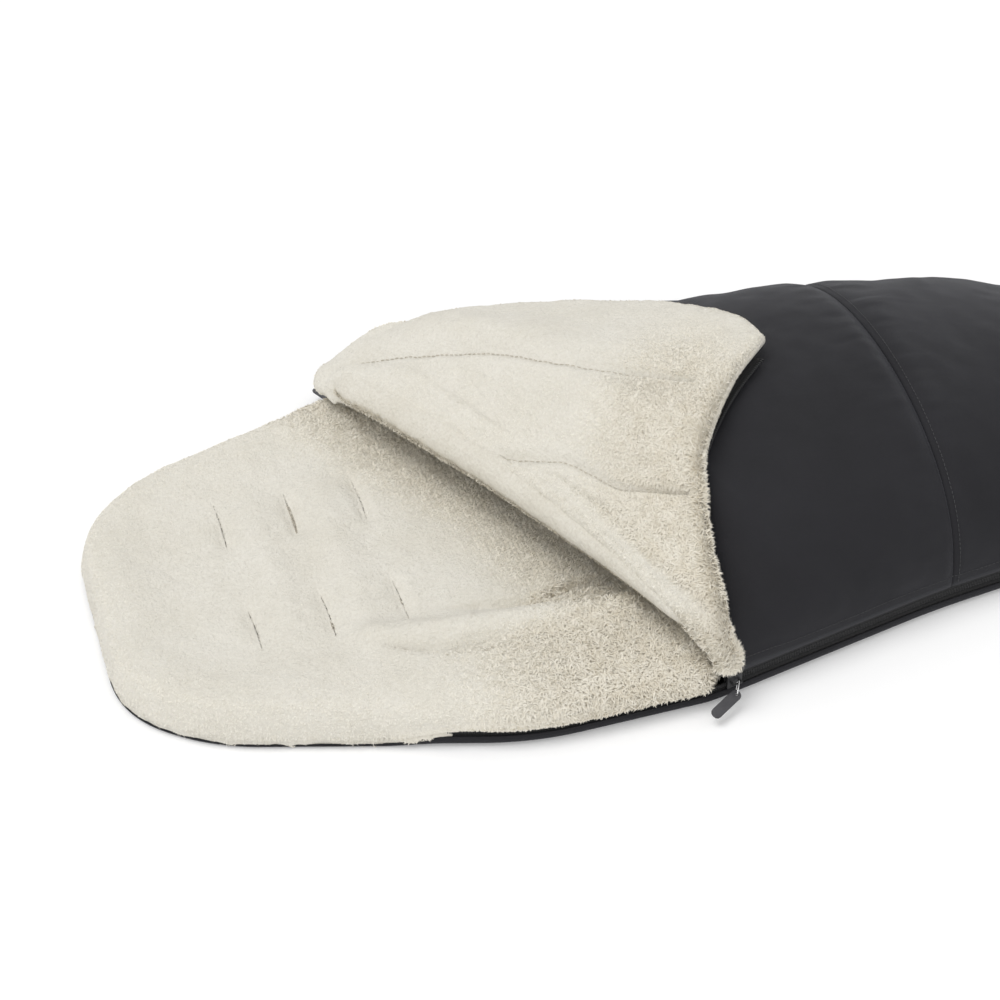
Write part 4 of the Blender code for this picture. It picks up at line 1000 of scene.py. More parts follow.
def side_strip(side, runs, low, high):
    """An upright strip beside the outline."""
    inner, outer = TAPE_INSET - TAPE / 2, TAPE_INSET + TAPE / 2
    corners = ((inner, low), (inner, high), (outer, high), (outer, low))
    if side > 0:
        corners = corners[::-1]
    return strip(np.stack([side_point(side, runs, inset, height) for inset, height in corners], 1))


def recalculate(piece):
    """Turn every face of a piece outwards."""
    shape = bmesh.new()
    shape.from_mesh(piece.data)
    bmesh.ops.recalc_face_normals(shape, faces=shape.faces)
    shape.to_mesh(piece.data)
    shape.free()


def add_tape(name, strips, body, slot, node):
    piece = add_piece(name, *joined(strips), TAPE_CLOTH)
    recalculate(piece)
    lay_cloth(piece)
    dress(piece, body, slot, node)


SLIDERS = {"near": (-1, NEAR_SLIDER), "far": (1, FAR_SLIDER)}
for name, (side, slider) in SLIDERS.items():
    runs = np.linspace(run_to(ZIP_HEAD), run_to(ZIP_FOOT), 260)
    tape_top = ZIP_HEIGHT - COIL_REACH + COIL_HOLD - open_drop(runs, slider)
    add_tape(f"{name}_lower_tape", [side_strip(side, runs, TAPE_LOW, tape_top)], "base_and_cover", "tape",
             f"{name}_base_tape")
    runs = np.linspace(run_to(slider) + SLIDER_HALF, run_to(ZIP_FOOT), 240)
    tape_foot = ZIP_HEIGHT + COIL_REACH - COIL_HOLD
    add_tape(f"{name}_upper_tape", [side_strip(side, runs, tape_foot, TAPE_HIGH)], "base_and_cover", "tape",
             f"{name}_cover_tape")
runs = np.linspace(run_to(ZIP_FOOT) + 0.0004, RUNS[-1], 160)
add_tape("toe_strip", [side_strip(side, runs, TAPE_LOW, TAPE_HIGH) for side in (-1, 1)], "base_and_cover",
         "shell", "toe_band")

# Zip teeth
# Small moulded teeth along the edge of each tape. The two rows mesh where the zip is closed, and
# the base's row stands alone from the zip's head end to the slider.
TOOTH, TOOTH_EDGE = (0.00105, 0.0021, 0.0034), 0.00032


def plastic_material():
    made, tree, shader = start_material("zip_plastic", (0.016, 0.016, 0.017), 0.38)
    place = object_place(tree)
    tint(tree, shader, noise(tree, place, 700, 2), (0.012, 0.012, 0.013), (0.020, 0.020, 0.021))
    bump(tree, shader, noise(tree, place, 500, 2), 0.0001, 0.5)
    return made


ZIP_PLASTIC = plastic_material()


def tooth_shape():
    """One tooth: a small block with a rounded head, as points and faces about its middle."""
    bpy.ops.object.select_all(action="DESELECT")
    bpy.ops.mesh.primitive_cube_add(size=1)
    block = bpy.context.active_object
    block.scale = TOOTH
    bpy.ops.object.transform_apply(scale=True)
    soft = block.modifiers.new("edges", "BEVEL")
    soft.width, soft.segments = TOOTH_EDGE, 1
    apply_modifiers(block)
    shape = bmesh.new()
    shape.from_mesh(block.data)
    bmesh.ops.triangulate(shape, faces=shape.faces)
    points = np.array([vertex.co for vertex in shape.verts])
    faces = np.array([[vertex.index for vertex in face.verts] for face in shape.faces])
    shape.free()
    bpy.data.objects.remove(block)
    return points, faces


TOOTH_POINTS, TOOTH_FACES = tooth_shape()


def teeth_along(places, ahead, up):
    """Teeth at places, each with its width ahead and its height up."""
    aside = np.cross(up, ahead)
    turned = (TOOTH_POINTS[None, :, :1] * ahead[:, None] + TOOTH_POINTS[None, :, 1:2] * aside[:, None]
              + TOOTH_POINTS[None, :, 2:] * up[:, None])
    faces = TOOTH_FACES[None] + np.arange(len(places))[:, None, None] * len(TOOTH_POINTS)
    return (places[:, None] + turned).reshape(-1, 3), faces.reshape(-1, 3)


def add_teeth(name, teeth, body, node):
    piece = add_piece(name, *teeth, ZIP_PLASTIC, merge=1e-6)
    recalculate(piece)
    dress(piece, body, "teeth", node)


def row_of_teeth(side, runs, height):
    places = side_point(side, runs, TAPE_INSET, height)
    before, beyond = (side_point(side, runs + step, TAPE_INSET, 0) for step in (-0.001, 0.001))
    return teeth_along(places, unit(beyond - before), np.tile((0.0, 0.0, 1.0), (len(runs), 1)))


tooth_offset = TOOTH[2] / 2 - COIL_OVERLAP
for name, (side, slider) in SLIDERS.items():
    runs = np.arange(run_to(ZIP_HEAD) + 0.001, run_to(ZIP_FOOT), COIL_PITCH)
    lower = row_of_teeth(side, runs, ZIP_HEIGHT - tooth_offset - open_drop(runs, slider))
    add_teeth(f"{name}_lower_teeth", lower, "base_and_cover", f"{name}_base_teeth")
    runs = np.arange(run_to(slider) + SLIDER_HALF, run_to(ZIP_FOOT), COIL_PITCH) + COIL_PITCH / 2
    upper = row_of_teeth(side, runs, ZIP_HEIGHT + tooth_offset)
    add_teeth(f"{name}_upper_teeth", upper, "base_and_cover", f"{name}_cover_teeth")

# Sliders and pullers
# Cast metal sliders in black enamel, each with a bright wire link through its bail, and a rubber
# grip moulded on to the link.
SLIDER_EDGE, LINK_EDGE, GRIP_EDGE, STOP_EDGE = 0.00022, 0.00020, 0.00045, 0.00025
SHARP_ANGLE = math.radians(40)


def metal_material(name, colour, roughness, metallic=1.0):
    """Polished metal with faint scratches."""
    made, tree, shader = start_material(name, colour, roughness)
    shader.inputs["Metallic"].default_value = metallic
    place = object_place(tree)
    worn = noise(tree, place, 420, 5)
    low, high = (tuple(c * k for c in colour) for k in (0.82, 1.08))
    tint(tree, shader, worn, low, high)
    rough = ramp(tree, worn, (0.3, (roughness * 0.7,) * 3), (0.7, (roughness * 1.3,) * 3))
    tree.links.new(rough, shader.inputs["Roughness"])
    bump(tree, shader, noise(tree, place, 900, 3), 0.00005, 0.5)
    return made


def rubber_material():
    """Dark grey rubber with a fine moulded grain."""
    made, tree, shader = start_material("grip_rubber", (0.050, 0.049, 0.054), 0.6)
    place = object_place(tree)
    tint(tree, shader, noise(tree, place, 160, 3), (0.042, 0.041, 0.046), (0.060, 0.059, 0.064))
    bump(tree, shader, noise(tree, place, 1400, 3), 0.00012, 0.6)
    return made


SILVER = metal_material("silver", (0.70, 0.70, 0.71), 0.22)
ENAMEL = metal_material("enamel", (0.055, 0.055, 0.058), 0.34, metallic=0.6)
RUBBER = rubber_material()


def finished_copy(node, name, material, body, slot, edge, segments=2):
    """A smooth-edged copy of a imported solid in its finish."""
    bpy.ops.object.select_all(action="DESELECT")
    source = bpy.data.objects[node]
    piece = bpy.data.objects.new(name, source.data.copy())
    bpy.context.scene.collection.objects.link(piece)
    piece.data.transform(source.matrix_world)
    shape = bmesh.new()
    shape.from_mesh(piece.data)
    bmesh.ops.remove_doubles(shape, verts=shape.verts, dist=1e-6)
    bmesh.ops.dissolve_limit(shape, angle_limit=math.radians(1), verts=shape.verts, edges=shape.edges)
    shape.to_mesh(piece.data)
    shape.free()
    soft = piece.modifiers.new("edges", "BEVEL")
    soft.width, soft.segments, soft.angle_limit = edge, segments, SHARP_ANGLE
    apply_modifiers(piece)
    piece.data.materials.clear()
    piece.data.materials.append(material)
    piece.select_set(True)
    bpy.context.view_layer.objects.active = piece
    bpy.ops.object.shade_smooth_by_angle(angle=SHARP_ANGLE)
    piece.select_set(False)
    dress(piece, body, slot, node)


for name in ("near", "far"):
    finished_copy(f"{name}_slider", f"{name}_slide_body", ENAMEL, f"{name}_slider", "silver", SLIDER_EDGE)
    finished_copy(f"{name}_link", f"{name}_wire_link", SILVER, f"{name}_link", "silver", LINK_EDGE)
    finished_copy(f"{name}_grip", f"{name}_rubber_grip", RUBBER, f"{name}_grip", "grip", GRIP_EDGE, 3)
    for end in ("top", "bottom"):
        finished_copy(f"{name}_{end}_stop", f"{name}_{end}_clamp", ENAMEL, "base_and_cover", "silver",
                      STOP_EDGE)

# Cover
# A padded arch over the legs in two panels, black shell outside and cream fleece inside, joined
# by a topstitched seam across the shins. Its cut edges are hidden by the zips and the fold.
COVER_EDGE = 0.0265
CROWN_HEIGHTS = (
    (0.200, 0.132),
    (0.380, 0.137),
    (0.550, 0.143),
    (0.660, 0.152),
    (0.760, 0.136),
    (0.860, 0.116),
)
TOE_DROP_START, TOE_POWER, TOE_TIP, TOE_SPACING = 0.800, 2.2, 0.00001, 1.15
FOOT_SEAM, SEAM_GROOVE, SEAM_REACH, SEAM_GAP = 0.672, 0.0025, 0.009, 0.0001
FOLD_NEAR, FOLD_FAR = np.array((0.4600, -0.2220)), np.array((0.2450, 0.2080))
FOLD_ALONG = (FOLD_FAR - FOLD_NEAR) / np.linalg.norm(FOLD_FAR - FOLD_NEAR)
FOLD_AHEAD = np.array((FOLD_ALONG[1], -FOLD_ALONG[0]))
FOLD_RISE, FOLD_REACH, FOLD_POWER, ARCH_POWER = 0.050, 0.080, 0.52, 0.88
INNER_START, LAYERS = 0.0060, 0.0155
HEM_ANGLE, SHELL_HEM_ANGLE, HEM_DROP = 0.03, 0.002, 0.0012
# Wrinkles of the shell and lumps of the fleece: the size, seed and height of each layer
LONG_WRINKLES, FINE_WRINKLES = ((0.045, 11, 0.0030), (0.021, 12, 0.0015)), ((0.016, 13, 0.0006),)
COVER_LUMPS = ((0.030, 21, 0.0011), (0.009, 22, 0.0007))
PUCKER_SIZE, PUCKER_HEIGHT, PUCKER_REACH = 0.0085, 0.0021, 0.020
VALLEY_DEPTH, VALLEY_REACH = 0.0016, 0.0035
MOUTH_PILE_FOOT, MOUTH_PILE_COUNT = 0.62, 13000


def arch(station, angle, depth):
    """Points of the arch, so deep under its outside, or above it where depth is below zero."""
    station, angle, depth = np.broadcast_arrays(*(np.asarray(a, float) for a in (station, angle, depth)))
    share = np.maximum(0, (station - TOE_DROP_START) / (LENGTH - TOE_DROP_START))
    drop = (1 - np.minimum(share, 1) ** TOE_POWER) ** (1 / TOE_POWER)
    rise = (curve(CROWN_HEIGHTS, station) - COVER_EDGE) * drop
    width = half_width(station)
    side = -width * np.cos(angle)
    ahead = (station - FOLD_NEAR[0]) * FOLD_AHEAD[0] + (side - FOLD_NEAR[1]) * FOLD_AHEAD[1]
    full = ease(ahead / FOLD_REACH)
    bend = np.sin(angle)
    height = mix(FOLD_RISE * bend ** FOLD_POWER, rise * bend ** ARCH_POWER, full)
    dip = SEAM_GROOVE * np.exp(-((station - FOOT_SEAM) / SEAM_REACH) ** 2)
    height = height - dip * bend - depth * drop * bend + COVER_EDGE
    return np.stack([station - depth * share - LENGTH / 2, -(width - depth) * np.cos(angle), height], -1)


def fold_station(angle):
    """The station at which the fold crosses an angle of the arch."""
    angle = np.asarray(angle, float)
    station = np.full(angle.shape, FOLD_NEAR[0])
    slope = (FOLD_FAR[0] - FOLD_NEAR[0]) / (FOLD_FAR[1] - FOLD_NEAR[1])
    for _ in range(12):
        station = FOLD_NEAR[0] + slope * (-half_width(station) * np.cos(angle) - FOLD_NEAR[1])
    return station


def grid_normals(points):
    """Unit normals of a grid of points, on the side that faces up at its middle."""
    normal = unit(np.cross(np.gradient(points, axis=1), np.gradient(points, axis=0)))
    rows, columns = points.shape[:2]
    return normal * np.sign(normal[rows // 2, columns // 2, 2])


def add_sheet(name, top, bottom, material, fluff=None):
    """A closed sheet between two grids of the same size."""
    rows, columns, _ = top.shape
    count = rows * columns
    index = np.arange(count).reshape(rows, columns)
    faces = grid_faces(rows, columns)
    rim = np.concatenate([index[0], index[1:, -1], index[-1, -2::-1], index[-2:0:-1, 0]])
    after = np.roll(rim, -1)
    sides = np.stack([rim, after, after + count, rim + count], -1)
    points = np.concatenate([top.reshape(-1, 3), bottom.reshape(-1, 3)])
    layers = {} if fluff is None else {"fluff": np.tile(np.ravel(fluff), 2)}
    return add_piece(name, points, np.concatenate([faces[:, ::-1], faces + count, sides]), material, **layers)


def wrinkles(points):
    """Soft folds of the shell: long diagonal ones, and short puckers beside the seam."""
    x, y, z = points[..., 0], points[..., 1], points[..., 2]
    slanted = np.stack([x * 0.8 + z * 0.9 - y * 0.35, (y - x) * 0.30, z * 0.25], -1)
    seam = np.abs(x + LENGTH / 2 - FOOT_SEAM)
    around = np.arctan2(z - ROUND_HEIGHT, -y) * ROUND_RADIUS
    pucker = np.stack([around, x * 0.22, x * 0], -1)
    gathered = lumps(pucker, PUCKER_SIZE, 14) * np.exp(-seam / PUCKER_REACH) * PUCKER_HEIGHT
    return bumps(slanted, LONG_WRINKLES) + bumps(points, FINE_WRINKLES) + gathered


def seam_valley(points):
    """How far the shell is drawn in along the seam."""
    seam = np.abs(points[..., 0] + LENGTH / 2 - FOOT_SEAM)
    return VALLEY_DEPTH * np.exp(-(seam / VALLEY_REACH) ** 2)


def panel(first, last, rows, columns, depth, toe=False, hem=HEM_ANGLE):
    """A grid of the arch from a first station to the last, its rows closer where the toe drops."""
    angle = np.linspace(hem, math.pi - hem, columns)[None, :]
    share = np.linspace(0, 1, rows)[:, None]
    if toe:
        share = np.sin(share * math.pi / 2) ** TOE_SPACING
    return arch(mix(first(angle), last, share), angle, depth)


def puffed(points, rows_in=7):
    """How full a padded panel is, from 0 at its sewn ends to 1 inside."""
    along, across = (np.minimum(np.arange(count), np.arange(count)[::-1]) / rows_in
                     for count in points.shape[:2])
    return ease(along)[:, None] * ease(across)[None, :]


panel_tops = {}


def add_cover_shell(name, first, last, rows, columns, node, toe=False):
    """The shell of a panel, with its wrinkles, as a thin closed sheet."""
    outside = panel(first, last, rows, columns, 0.0, toe, SHELL_HEM_ANGLE)
    outside[:, (0, -1), 2] = COVER_EDGE - HEM_DROP
    if toe:
        outside[-1, :, 2] = COVER_EDGE - HEM_DROP
    normal = grid_normals(outside)
    moved = wrinkles(outside) * puffed(outside) - seam_valley(outside) * ease(outside[..., 2] / 0.06)
    outside = outside + normal * moved[..., None]
    panel_tops[name] = outside
    piece = add_sheet(name, outside, outside - normal * SHELL, SHELL_CLOTH)
    lay_cloth(piece)
    dress(piece, "base_and_cover", "shell", node)


def add_cover_fleece(name, first, last, rows, columns, nodes, toe=False):
    """The fleece and wadding of a panel: smooth against the shell, piled on the inside."""
    outside, inside = (panel(first, last, rows, columns, depth, toe) for depth in (INNER_START, LAYERS))
    rough = bumps(inside, COVER_LUMPS) * puffed(inside)
    inside = inside - grid_normals(inside) * rough[..., None]
    piece = add_sheet(name, outside, inside, FLEECE, np.full((rows, columns), 0.5))
    dress(piece, "base_and_cover", "fleece", *nodes)


def behind_seam(gap):
    """The first station of the foot's panel, a gap past the seam, for any angle."""
    return lambda angle: FOOT_SEAM + gap


add_cover_shell("cover_outer", fold_station, FOOT_SEAM - SEAM_GAP, 150, 170, "cover_shell")
add_cover_shell("foot_outer", behind_seam(SEAM_GAP), LENGTH - TOE_TIP, 96, 170, "foot_shell", toe=True)
add_cover_fleece("cover_inner", fold_station, FOOT_SEAM - 2 * SEAM_GAP, 80, 100,
                 ("cover_padding", "cover_lining"))
mouth = panel(fold_station, MOUTH_PILE_FOOT, 60, 90, LAYERS)
grow_pile("mouth_pile", mouth, np.ones(mouth.shape[:2]), MOUTH_PILE_COUNT, 64, "base_and_cover", 2, 0.55,
          outwards=(0, 0, -1))
add_cover_fleece("foot_inner", behind_seam(2 * SEAM_GAP), LENGTH - TOE_TIP - 0.0005, 50, 100,
                 ("foot_padding", "foot_lining"), toe=True)

# Topstitching
# A row of black stitches holds the seam allowance down on the foot side of the seam, and one
# more closes the hem over each zip.
STITCH, STITCH_GAP, STITCH_RADIUS, STITCH_LIFT = 0.0028, 0.0011, 0.00030, 0.0001
STITCH_MARGIN = 0.004
# The rows and columns of the panels that the stitches follow
SEAM_ROW, HEM_ROWS, HEM_COLUMNS = 2, slice(3, -32), (3, -4)


def stitches_along(path, length=STITCH, gap=STITCH_GAP, radius=STITCH_RADIUS):
    """Short rounded stitches on a path of points, as points and faces."""
    marks = np.concatenate([[0], np.cumsum(np.linalg.norm(np.diff(path, axis=0), axis=1))])
    parts = []
    for start in np.arange(STITCH_MARGIN, marks[-1] - length - STITCH_MARGIN, length + gap):
        steps = start + length * np.array((0.0, 0.15, 0.5, 0.85, 1.0))
        line = np.stack([np.interp(steps, marks, path[:, k]) for k in range(3)], -1)
        rings, faces = tube(line, radius, sides=5)
        rings = rings.reshape(5, 5, 3)
        for ring in (0, 4):
            rings[ring] = mix(rings[ring], line[ring], 0.6) - (line[2] - line[ring]) * 0.02
        parts.append((rings.reshape(-1, 3), faces))
    return joined(parts)


def black_thread_material():
    """Black thread, with a faint twist."""
    made, tree, shader = start_material("black_thread", (0.020, 0.020, 0.022), 0.55, sheen=0.2)
    twist = noise(tree, object_place(tree), 1600, 2)
    tint(tree, shader, twist, (0.012, 0.012, 0.013), (0.034, 0.034, 0.037))
    bump(tree, shader, twist, 0.0002, 0.8)
    return made


hems = [np.concatenate([panel_tops[name][:, column] for name in ("cover_outer", "foot_outer")])[HEM_ROWS]
        for column in HEM_COLUMNS]
stitched = [stitches_along(line + unit(line * (0, 1, 1)) * STITCH_LIFT)
            for line in (panel_tops["foot_outer"][SEAM_ROW], *hems)]
topstitching = add_piece("topstitching", *joined(stitched), black_thread_material(), merge=1e-7)
dress(topstitching, "base_and_cover", "shell")

# Flap
# The head part of the cover, turned over on to the rest along the fold: its fleece is on top,
# quilted by two seams, and the shell with its zip half lies underneath.
FREE_EDGE = (
    (0.577, 1.622),
    (0.524, 1.404),
    (0.483, 1.182),
    (0.470, 1.040),
    (0.463, 0.859),
    (0.461, 0.655),
    (0.459, 0.340),
)
HEAD_EDGE = (
    (0.577, 1.622),
    (0.571, 1.800),
    (0.547, 1.935),
    (0.521, 2.030),
    (0.492, 2.090),
    (0.440, 2.215),
    (0.370, 2.480),
    (0.290, 2.720),
)
FLAP_LIFT = 0.007
FLAP_TOP = LAYERS + FLAP_LIFT
FOLD_LAST_ANGLE = 2.80
FAR_EDGE_SHARE = 0.16
CORNER_TURN, CORNER_REACH = 2.6, 0.006
FLAP_LENGTH, FLAP_WIDTH, FLAP_ROUNDING = 0.36, 0.26, 0.010
PILE_HEIGHT, FOLD_FILL, FOLD_TURNED = 0.0024, 0.0065, math.radians(128)
ROLL_SHARE, ROLL_INSIDE_SHARE, RIM_SHARE = 0.97, 0.55, 0.80
FLAP_LUMPS = ((0.036, 31, 0.0016), (0.014, 32, 0.0008), (0.0065, 33, 0.0005))
PILLOW_HEIGHT, PILLOW_REACH, GROOVE_DEPTH, GROOVE_REACH = 0.0040, 0.032, 0.0046, 0.0038
# The fleece's swelling beside the fold: its width, and the flap's widths at which it comes in
SWELL_WIDTH, SWELL_FADE, SEAM_CLEAR = 0.050, (0.07, 0.09), 0.030
# Shares of the flap's length at which it thins, by how much, and at which its corner starts
THIN_FADE, THIN_SHARE, CORNER_FADE = (0.86, 0.22), 0.78, (0.84, 0.12)
# How far from the free edge, the fold and the head edge the pile changes from curly to smooth
FREE_FADE, FOLD_FADE, HEAD_FADE = (0.020, 0.120), (0.004, 0.03), (-0.02, 0.16)
# How far beside a seam the pile is thin and how far it is short, and the shares it loses by that
THIN_REACH, SHORT_REACH, THIN_LOSS, SHORT_LOSS = 0.0022, 0.0062, 0.88, 0.72
FLAP_PILE_COUNT, FLAP_CURL_COUNT, FLAP_FRINGE_COUNT, CORNER_COUNT = 39000, 33000, 18000, 3000
QUILT_SEAMS = (
    ((0.246, 2.678), (0.291, 2.414), (0.333, 2.170), (0.371, 1.963), (0.403, 1.776),
     (0.436, 1.660), (0.469, 1.562), (0.500, 1.488)),
    ((0.287, 1.738), (0.308, 1.678), (0.346, 1.601), (0.385, 1.474), (0.403, 1.364),
     (0.418, 1.256), (0.439, 1.163), (0.466, 1.045)),
)


def along_edge(edge, share):
    """The station and angle at a share of the way along an edge."""
    places = np.linspace(0, 1, len(edge))
    return [curve(np.stack([places, values], -1), share) for values in zip(*edge)]


def fold_edge(share):
    """The flap's other edge: down its far side, and then along the fold to the slider."""
    far_share = np.clip(share / FAR_EDGE_SHARE, 0, 1)
    station, angle = HEAD_EDGE[-1]
    far = (mix(station, fold_station(FOLD_LAST_ANGLE), far_share), mix(angle, FOLD_LAST_ANGLE, far_share))
    t = np.clip((share - FAR_EDGE_SHARE) / (1 - FAR_EDGE_SHARE), 0, 1)
    fold_angle = mix(FOLD_LAST_ANGLE, FREE_EDGE[-1][1], t ** 0.9) - np.maximum(share - 1, 0) * CORNER_TURN
    on_fold = share >= FAR_EDGE_SHARE
    return (np.where(on_fold, fold_station(fold_angle), far[0]), np.where(on_fold, fold_angle, far[1]))


def flap_place(along, across):
    """The station and angle of a place on the flap. Along is 0 at the head edge and 1 at the
    slider, and across is 0 at the free edge and 1 at the fold."""
    along, across = np.broadcast_arrays(along, across)
    free, fold = along_edge(FREE_EDGE, np.minimum(along, 1)), fold_edge(along)
    free[1] = free[1] - np.maximum(along - 1, 0) * CORNER_TURN
    free[0] = np.where(along > 1, fold_station(free[1]) + CORNER_REACH, free[0])
    head, near, far = along_edge(HEAD_EDGE, across), FREE_EDGE[0], HEAD_EDGE[-1]
    fade = (1 - np.minimum(along, 1)) ** 2
    return [mix(free[k], fold[k], across) + fade * (head[k] - mix(near[k], far[k], across)) for k in (0, 1)]


def flap_grid():
    """Rows from the head edge to the slider, and columns from the free edge to the fold, closer
    together where an edge is rounded."""
    rim = (1 - np.cos(np.linspace(0, math.pi / 2, 9)))[:-1] * FLAP_ROUNDING
    rows, columns = (np.concatenate([rim / size, np.linspace(FLAP_ROUNDING / size, last, count)])
                     for size, last, count in ((FLAP_LENGTH, 1.08, 150), (FLAP_WIDTH, 1, 120)))
    return rows[:, None], columns[None, :]


def distances_over(grid, axis):
    """How far each point of a grid is from its first row or column, over the surface."""
    runs = np.cumsum(np.linalg.norm(np.gradient(grid, axis=axis), axis=-1), axis=axis)
    return runs - runs.take([0], axis)


def roll_over(surface, up, thick):
    """The fleece around the fold: columns of its outside and of its inside."""
    outward = surface[:, -1] - surface[:, -6]
    outward = unit(outward - up[:, -1] * np.sum(outward * up[:, -1], axis=-1, keepdims=True))
    radius = (thick[:, -1] + FLAP_LIFT / 2) * ROLL_SHARE
    middle = surface[:, -1] - up[:, -1] * radius
    turned = []
    for turn in np.linspace(0, FOLD_TURNED, 22)[1:]:
        swell = radius * (1 + 0.05 * lumps(middle, 0.03, 34)[:, None] * ease(turn / 0.9))
        turned.append(middle + up[:, -1] * swell * math.cos(turn) + outward * swell * math.sin(turn))
    turned, middle = np.stack(turned, 1), middle[:, None]
    rough = lumps(turned, 0.012, 35) * 0.0008 * ease(np.arange(turned.shape[1]) / 8)
    turned = turned + (turned - middle) * (rough / 0.019)[..., None]
    return turned, middle + (turned - middle) * ROLL_INSIDE_SHARE


def flap_shape():
    """The flap's fleece as two grids, with how fluffy it is and how far from its seams and edges,
    and its plain top."""
    rows, columns = flap_grid()
    station, angle = flap_place(rows, columns)
    fade = 1 - fade_in(rows, *THIN_FADE) * THIN_SHARE
    base, top = (arch(station, angle, -lift * fade) for lift in (FLAP_LIFT, FLAP_TOP))
    thick = np.linalg.norm(top - base, axis=-1, keepdims=True)
    up = (top - base) / thick
    seams = [arch(*along_edge(seam, np.linspace(0, 1, 40)), -FLAP_TOP) for seam in QUILT_SEAMS]
    groove = np.minimum(*(distance_to(top, seam) for seam in seams))
    run_rows, run_columns = distances_over(top, 0), distances_over(top, 1)
    to_fold = run_columns[:, -1:] - run_columns
    from_edge = np.minimum(run_rows * 0.6, run_columns)
    round_edge = np.sqrt(np.clip(1 - (1 - np.clip(from_edge / FLAP_ROUNDING, 0, 1)) ** 2, 0, 1))
    sunk = GROOVE_DEPTH * np.exp(-(groove / GROOVE_REACH) ** 2)
    pillow = PILLOW_HEIGHT * ease(groove / PILLOW_REACH) - sunk
    body = thick[..., 0] * 0.5
    full = np.sin(math.pi * np.clip(to_fold / SWELL_WIDTH, 0, 1)) ** 1.2
    full = full * fade_in(run_columns[:, -1:], *SWELL_FADE) * ease(groove / SEAM_CLEAR)
    raised = (pillow + bumps(top, FLAP_LUMPS) - PILE_HEIGHT + FOLD_FILL * full) * round_edge * fade
    surface = base + up * (body * (1 + round_edge) + raised)[..., None]
    lower = base + up * (body * (1 - RIM_SHARE * round_edge))[..., None]
    turned, inner = roll_over(surface, up, thick)
    at_corner = fade_in(rows, *CORNER_FADE)
    near_free = (1 - fade_in(run_columns, *FREE_FADE)) * mix(fade_in(to_fold, *FOLD_FADE), 1, at_corner)
    fluffy = near_free * fade_in(run_rows, *HEAD_FADE)

    def carried(grid, column):
        return np.concatenate([grid, np.broadcast_to(column, turned.shape[:2])], 1)

    return (np.concatenate([surface, turned], 1), np.concatenate([lower, inner], 1),
            carried(fluffy, fluffy[:, -1:] * at_corner), carried(groove, groove[:, -1:]),
            carried(from_edge, run_rows[:, -1:]), top)


flap_top, flap_low, flap_fluff, beside_seam, from_edge, flap_plain = flap_shape()
flap_fleece = add_sheet("flap_fleece", flap_top, flap_low, FLEECE, flap_fluff)
dress(flap_fleece, "flap", "fleece", "flap_lining", "flap_padding")

flap_out = flap_top - flap_low
seam_gap = 1 - THIN_LOSS * np.exp(-(beside_seam / THIN_REACH) ** 2)
flap_length = 1 - SHORT_LOSS * np.exp(-(beside_seam / SHORT_REACH) ** 2)
for name, seed in (("flap_pile_1", 71), ("flap_pile_2", 72)):
    grow_pile(name, flap_top, seam_gap * (1.1 - flap_fluff), FLAP_PILE_COUNT, seed, "flap", 2,
              lambda read: read(flap_fluff) * 0.8, lambda read: read(flap_length), outwards=flap_out)
grow_pile("flap_curls", flap_top, seam_gap * (0.02 + flap_fluff) ** 1.3, FLAP_CURL_COUNT, 73, "flap", 3,
          lambda read: 0.15 + 0.85 * read(flap_fluff), lambda read: read(flap_length), outwards=flap_out)
grow_pile("flap_fringe", flap_top, np.exp(-(from_edge / 0.0055) ** 2) * (0.25 + flap_fluff),
          FLAP_FRINGE_COUNT, 74, "flap", 3, lambda read: 0.15 + 0.75 * read(flap_fluff),
          lambda read: 1 + 0.5 * read(flap_fluff), outwards=flap_out)
corner_weight = np.broadcast_to(fade_in(flap_grid()[0], 0.97, 0.06), flap_top.shape[:2])
grow_pile("corner_locks", flap_top, corner_weight, CORNER_COUNT, 75, "flap", 3, 0.8, 1.7,
          comb=(0, -0.9, -1.6), outwards=flap_out)

# Quilting
# Two rows of thread hold the flap's fleece to its wadding and shell. Each stitch sinks into the
# pile and shows as a dash at the bottom of its seam.
QUILT_STITCH, QUILT_GAP, QUILT_RADIUS, QUILT_LIFT = 0.0034, 0.0018, 0.00042, 0.0004
QUILT_NEAREST = 0.003
QUILT_THREAD = thread_material("quilt_thread", (0.50, 0.455, 0.37), (0.70, 0.655, 0.56))


def quilt_lines():
    """Both seams as points that lie on the fleece, as far as the fleece goes."""
    plain = flap_plain.reshape(-1, 3)
    raised = flap_top[:, :flap_plain.shape[1]].reshape(-1, 3) - plain
    lines = []
    for seam in QUILT_SEAMS:
        station, angle = along_edge(seam, np.linspace(0, 1, 260))
        sought = arch(station, angle, -FLAP_TOP)
        up = unit(arch(station, angle, -FLAP_TOP - 0.001) - sought)
        line = []
        for point, out in zip(sought, up):
            away = np.sum((plain - point) ** 2, axis=1)
            nearest = np.argpartition(away, 8)[:8]
            weight = 1 / (away[nearest] + 1e-7)
            if away[nearest].min() < QUILT_NEAREST ** 2:
                line.append(point + weight @ raised[nearest] / weight.sum() + out * QUILT_LIFT)
        lines.append(np.array(line))
    return lines


quilting = [stitches_along(line, QUILT_STITCH, QUILT_GAP, QUILT_RADIUS) for line in quilt_lines()]
quilt_thread = add_piece("quilt_thread", *joined(quilting), QUILT_THREAD, merge=1e-7)
dress(quilt_thread, "flap", "stitching")

# Flap shell
# The black cloth of the flap, now underneath: one thin sheet over the cover, a little smaller than
# the fleece on it.
FLAP_WAVE = 0.0004


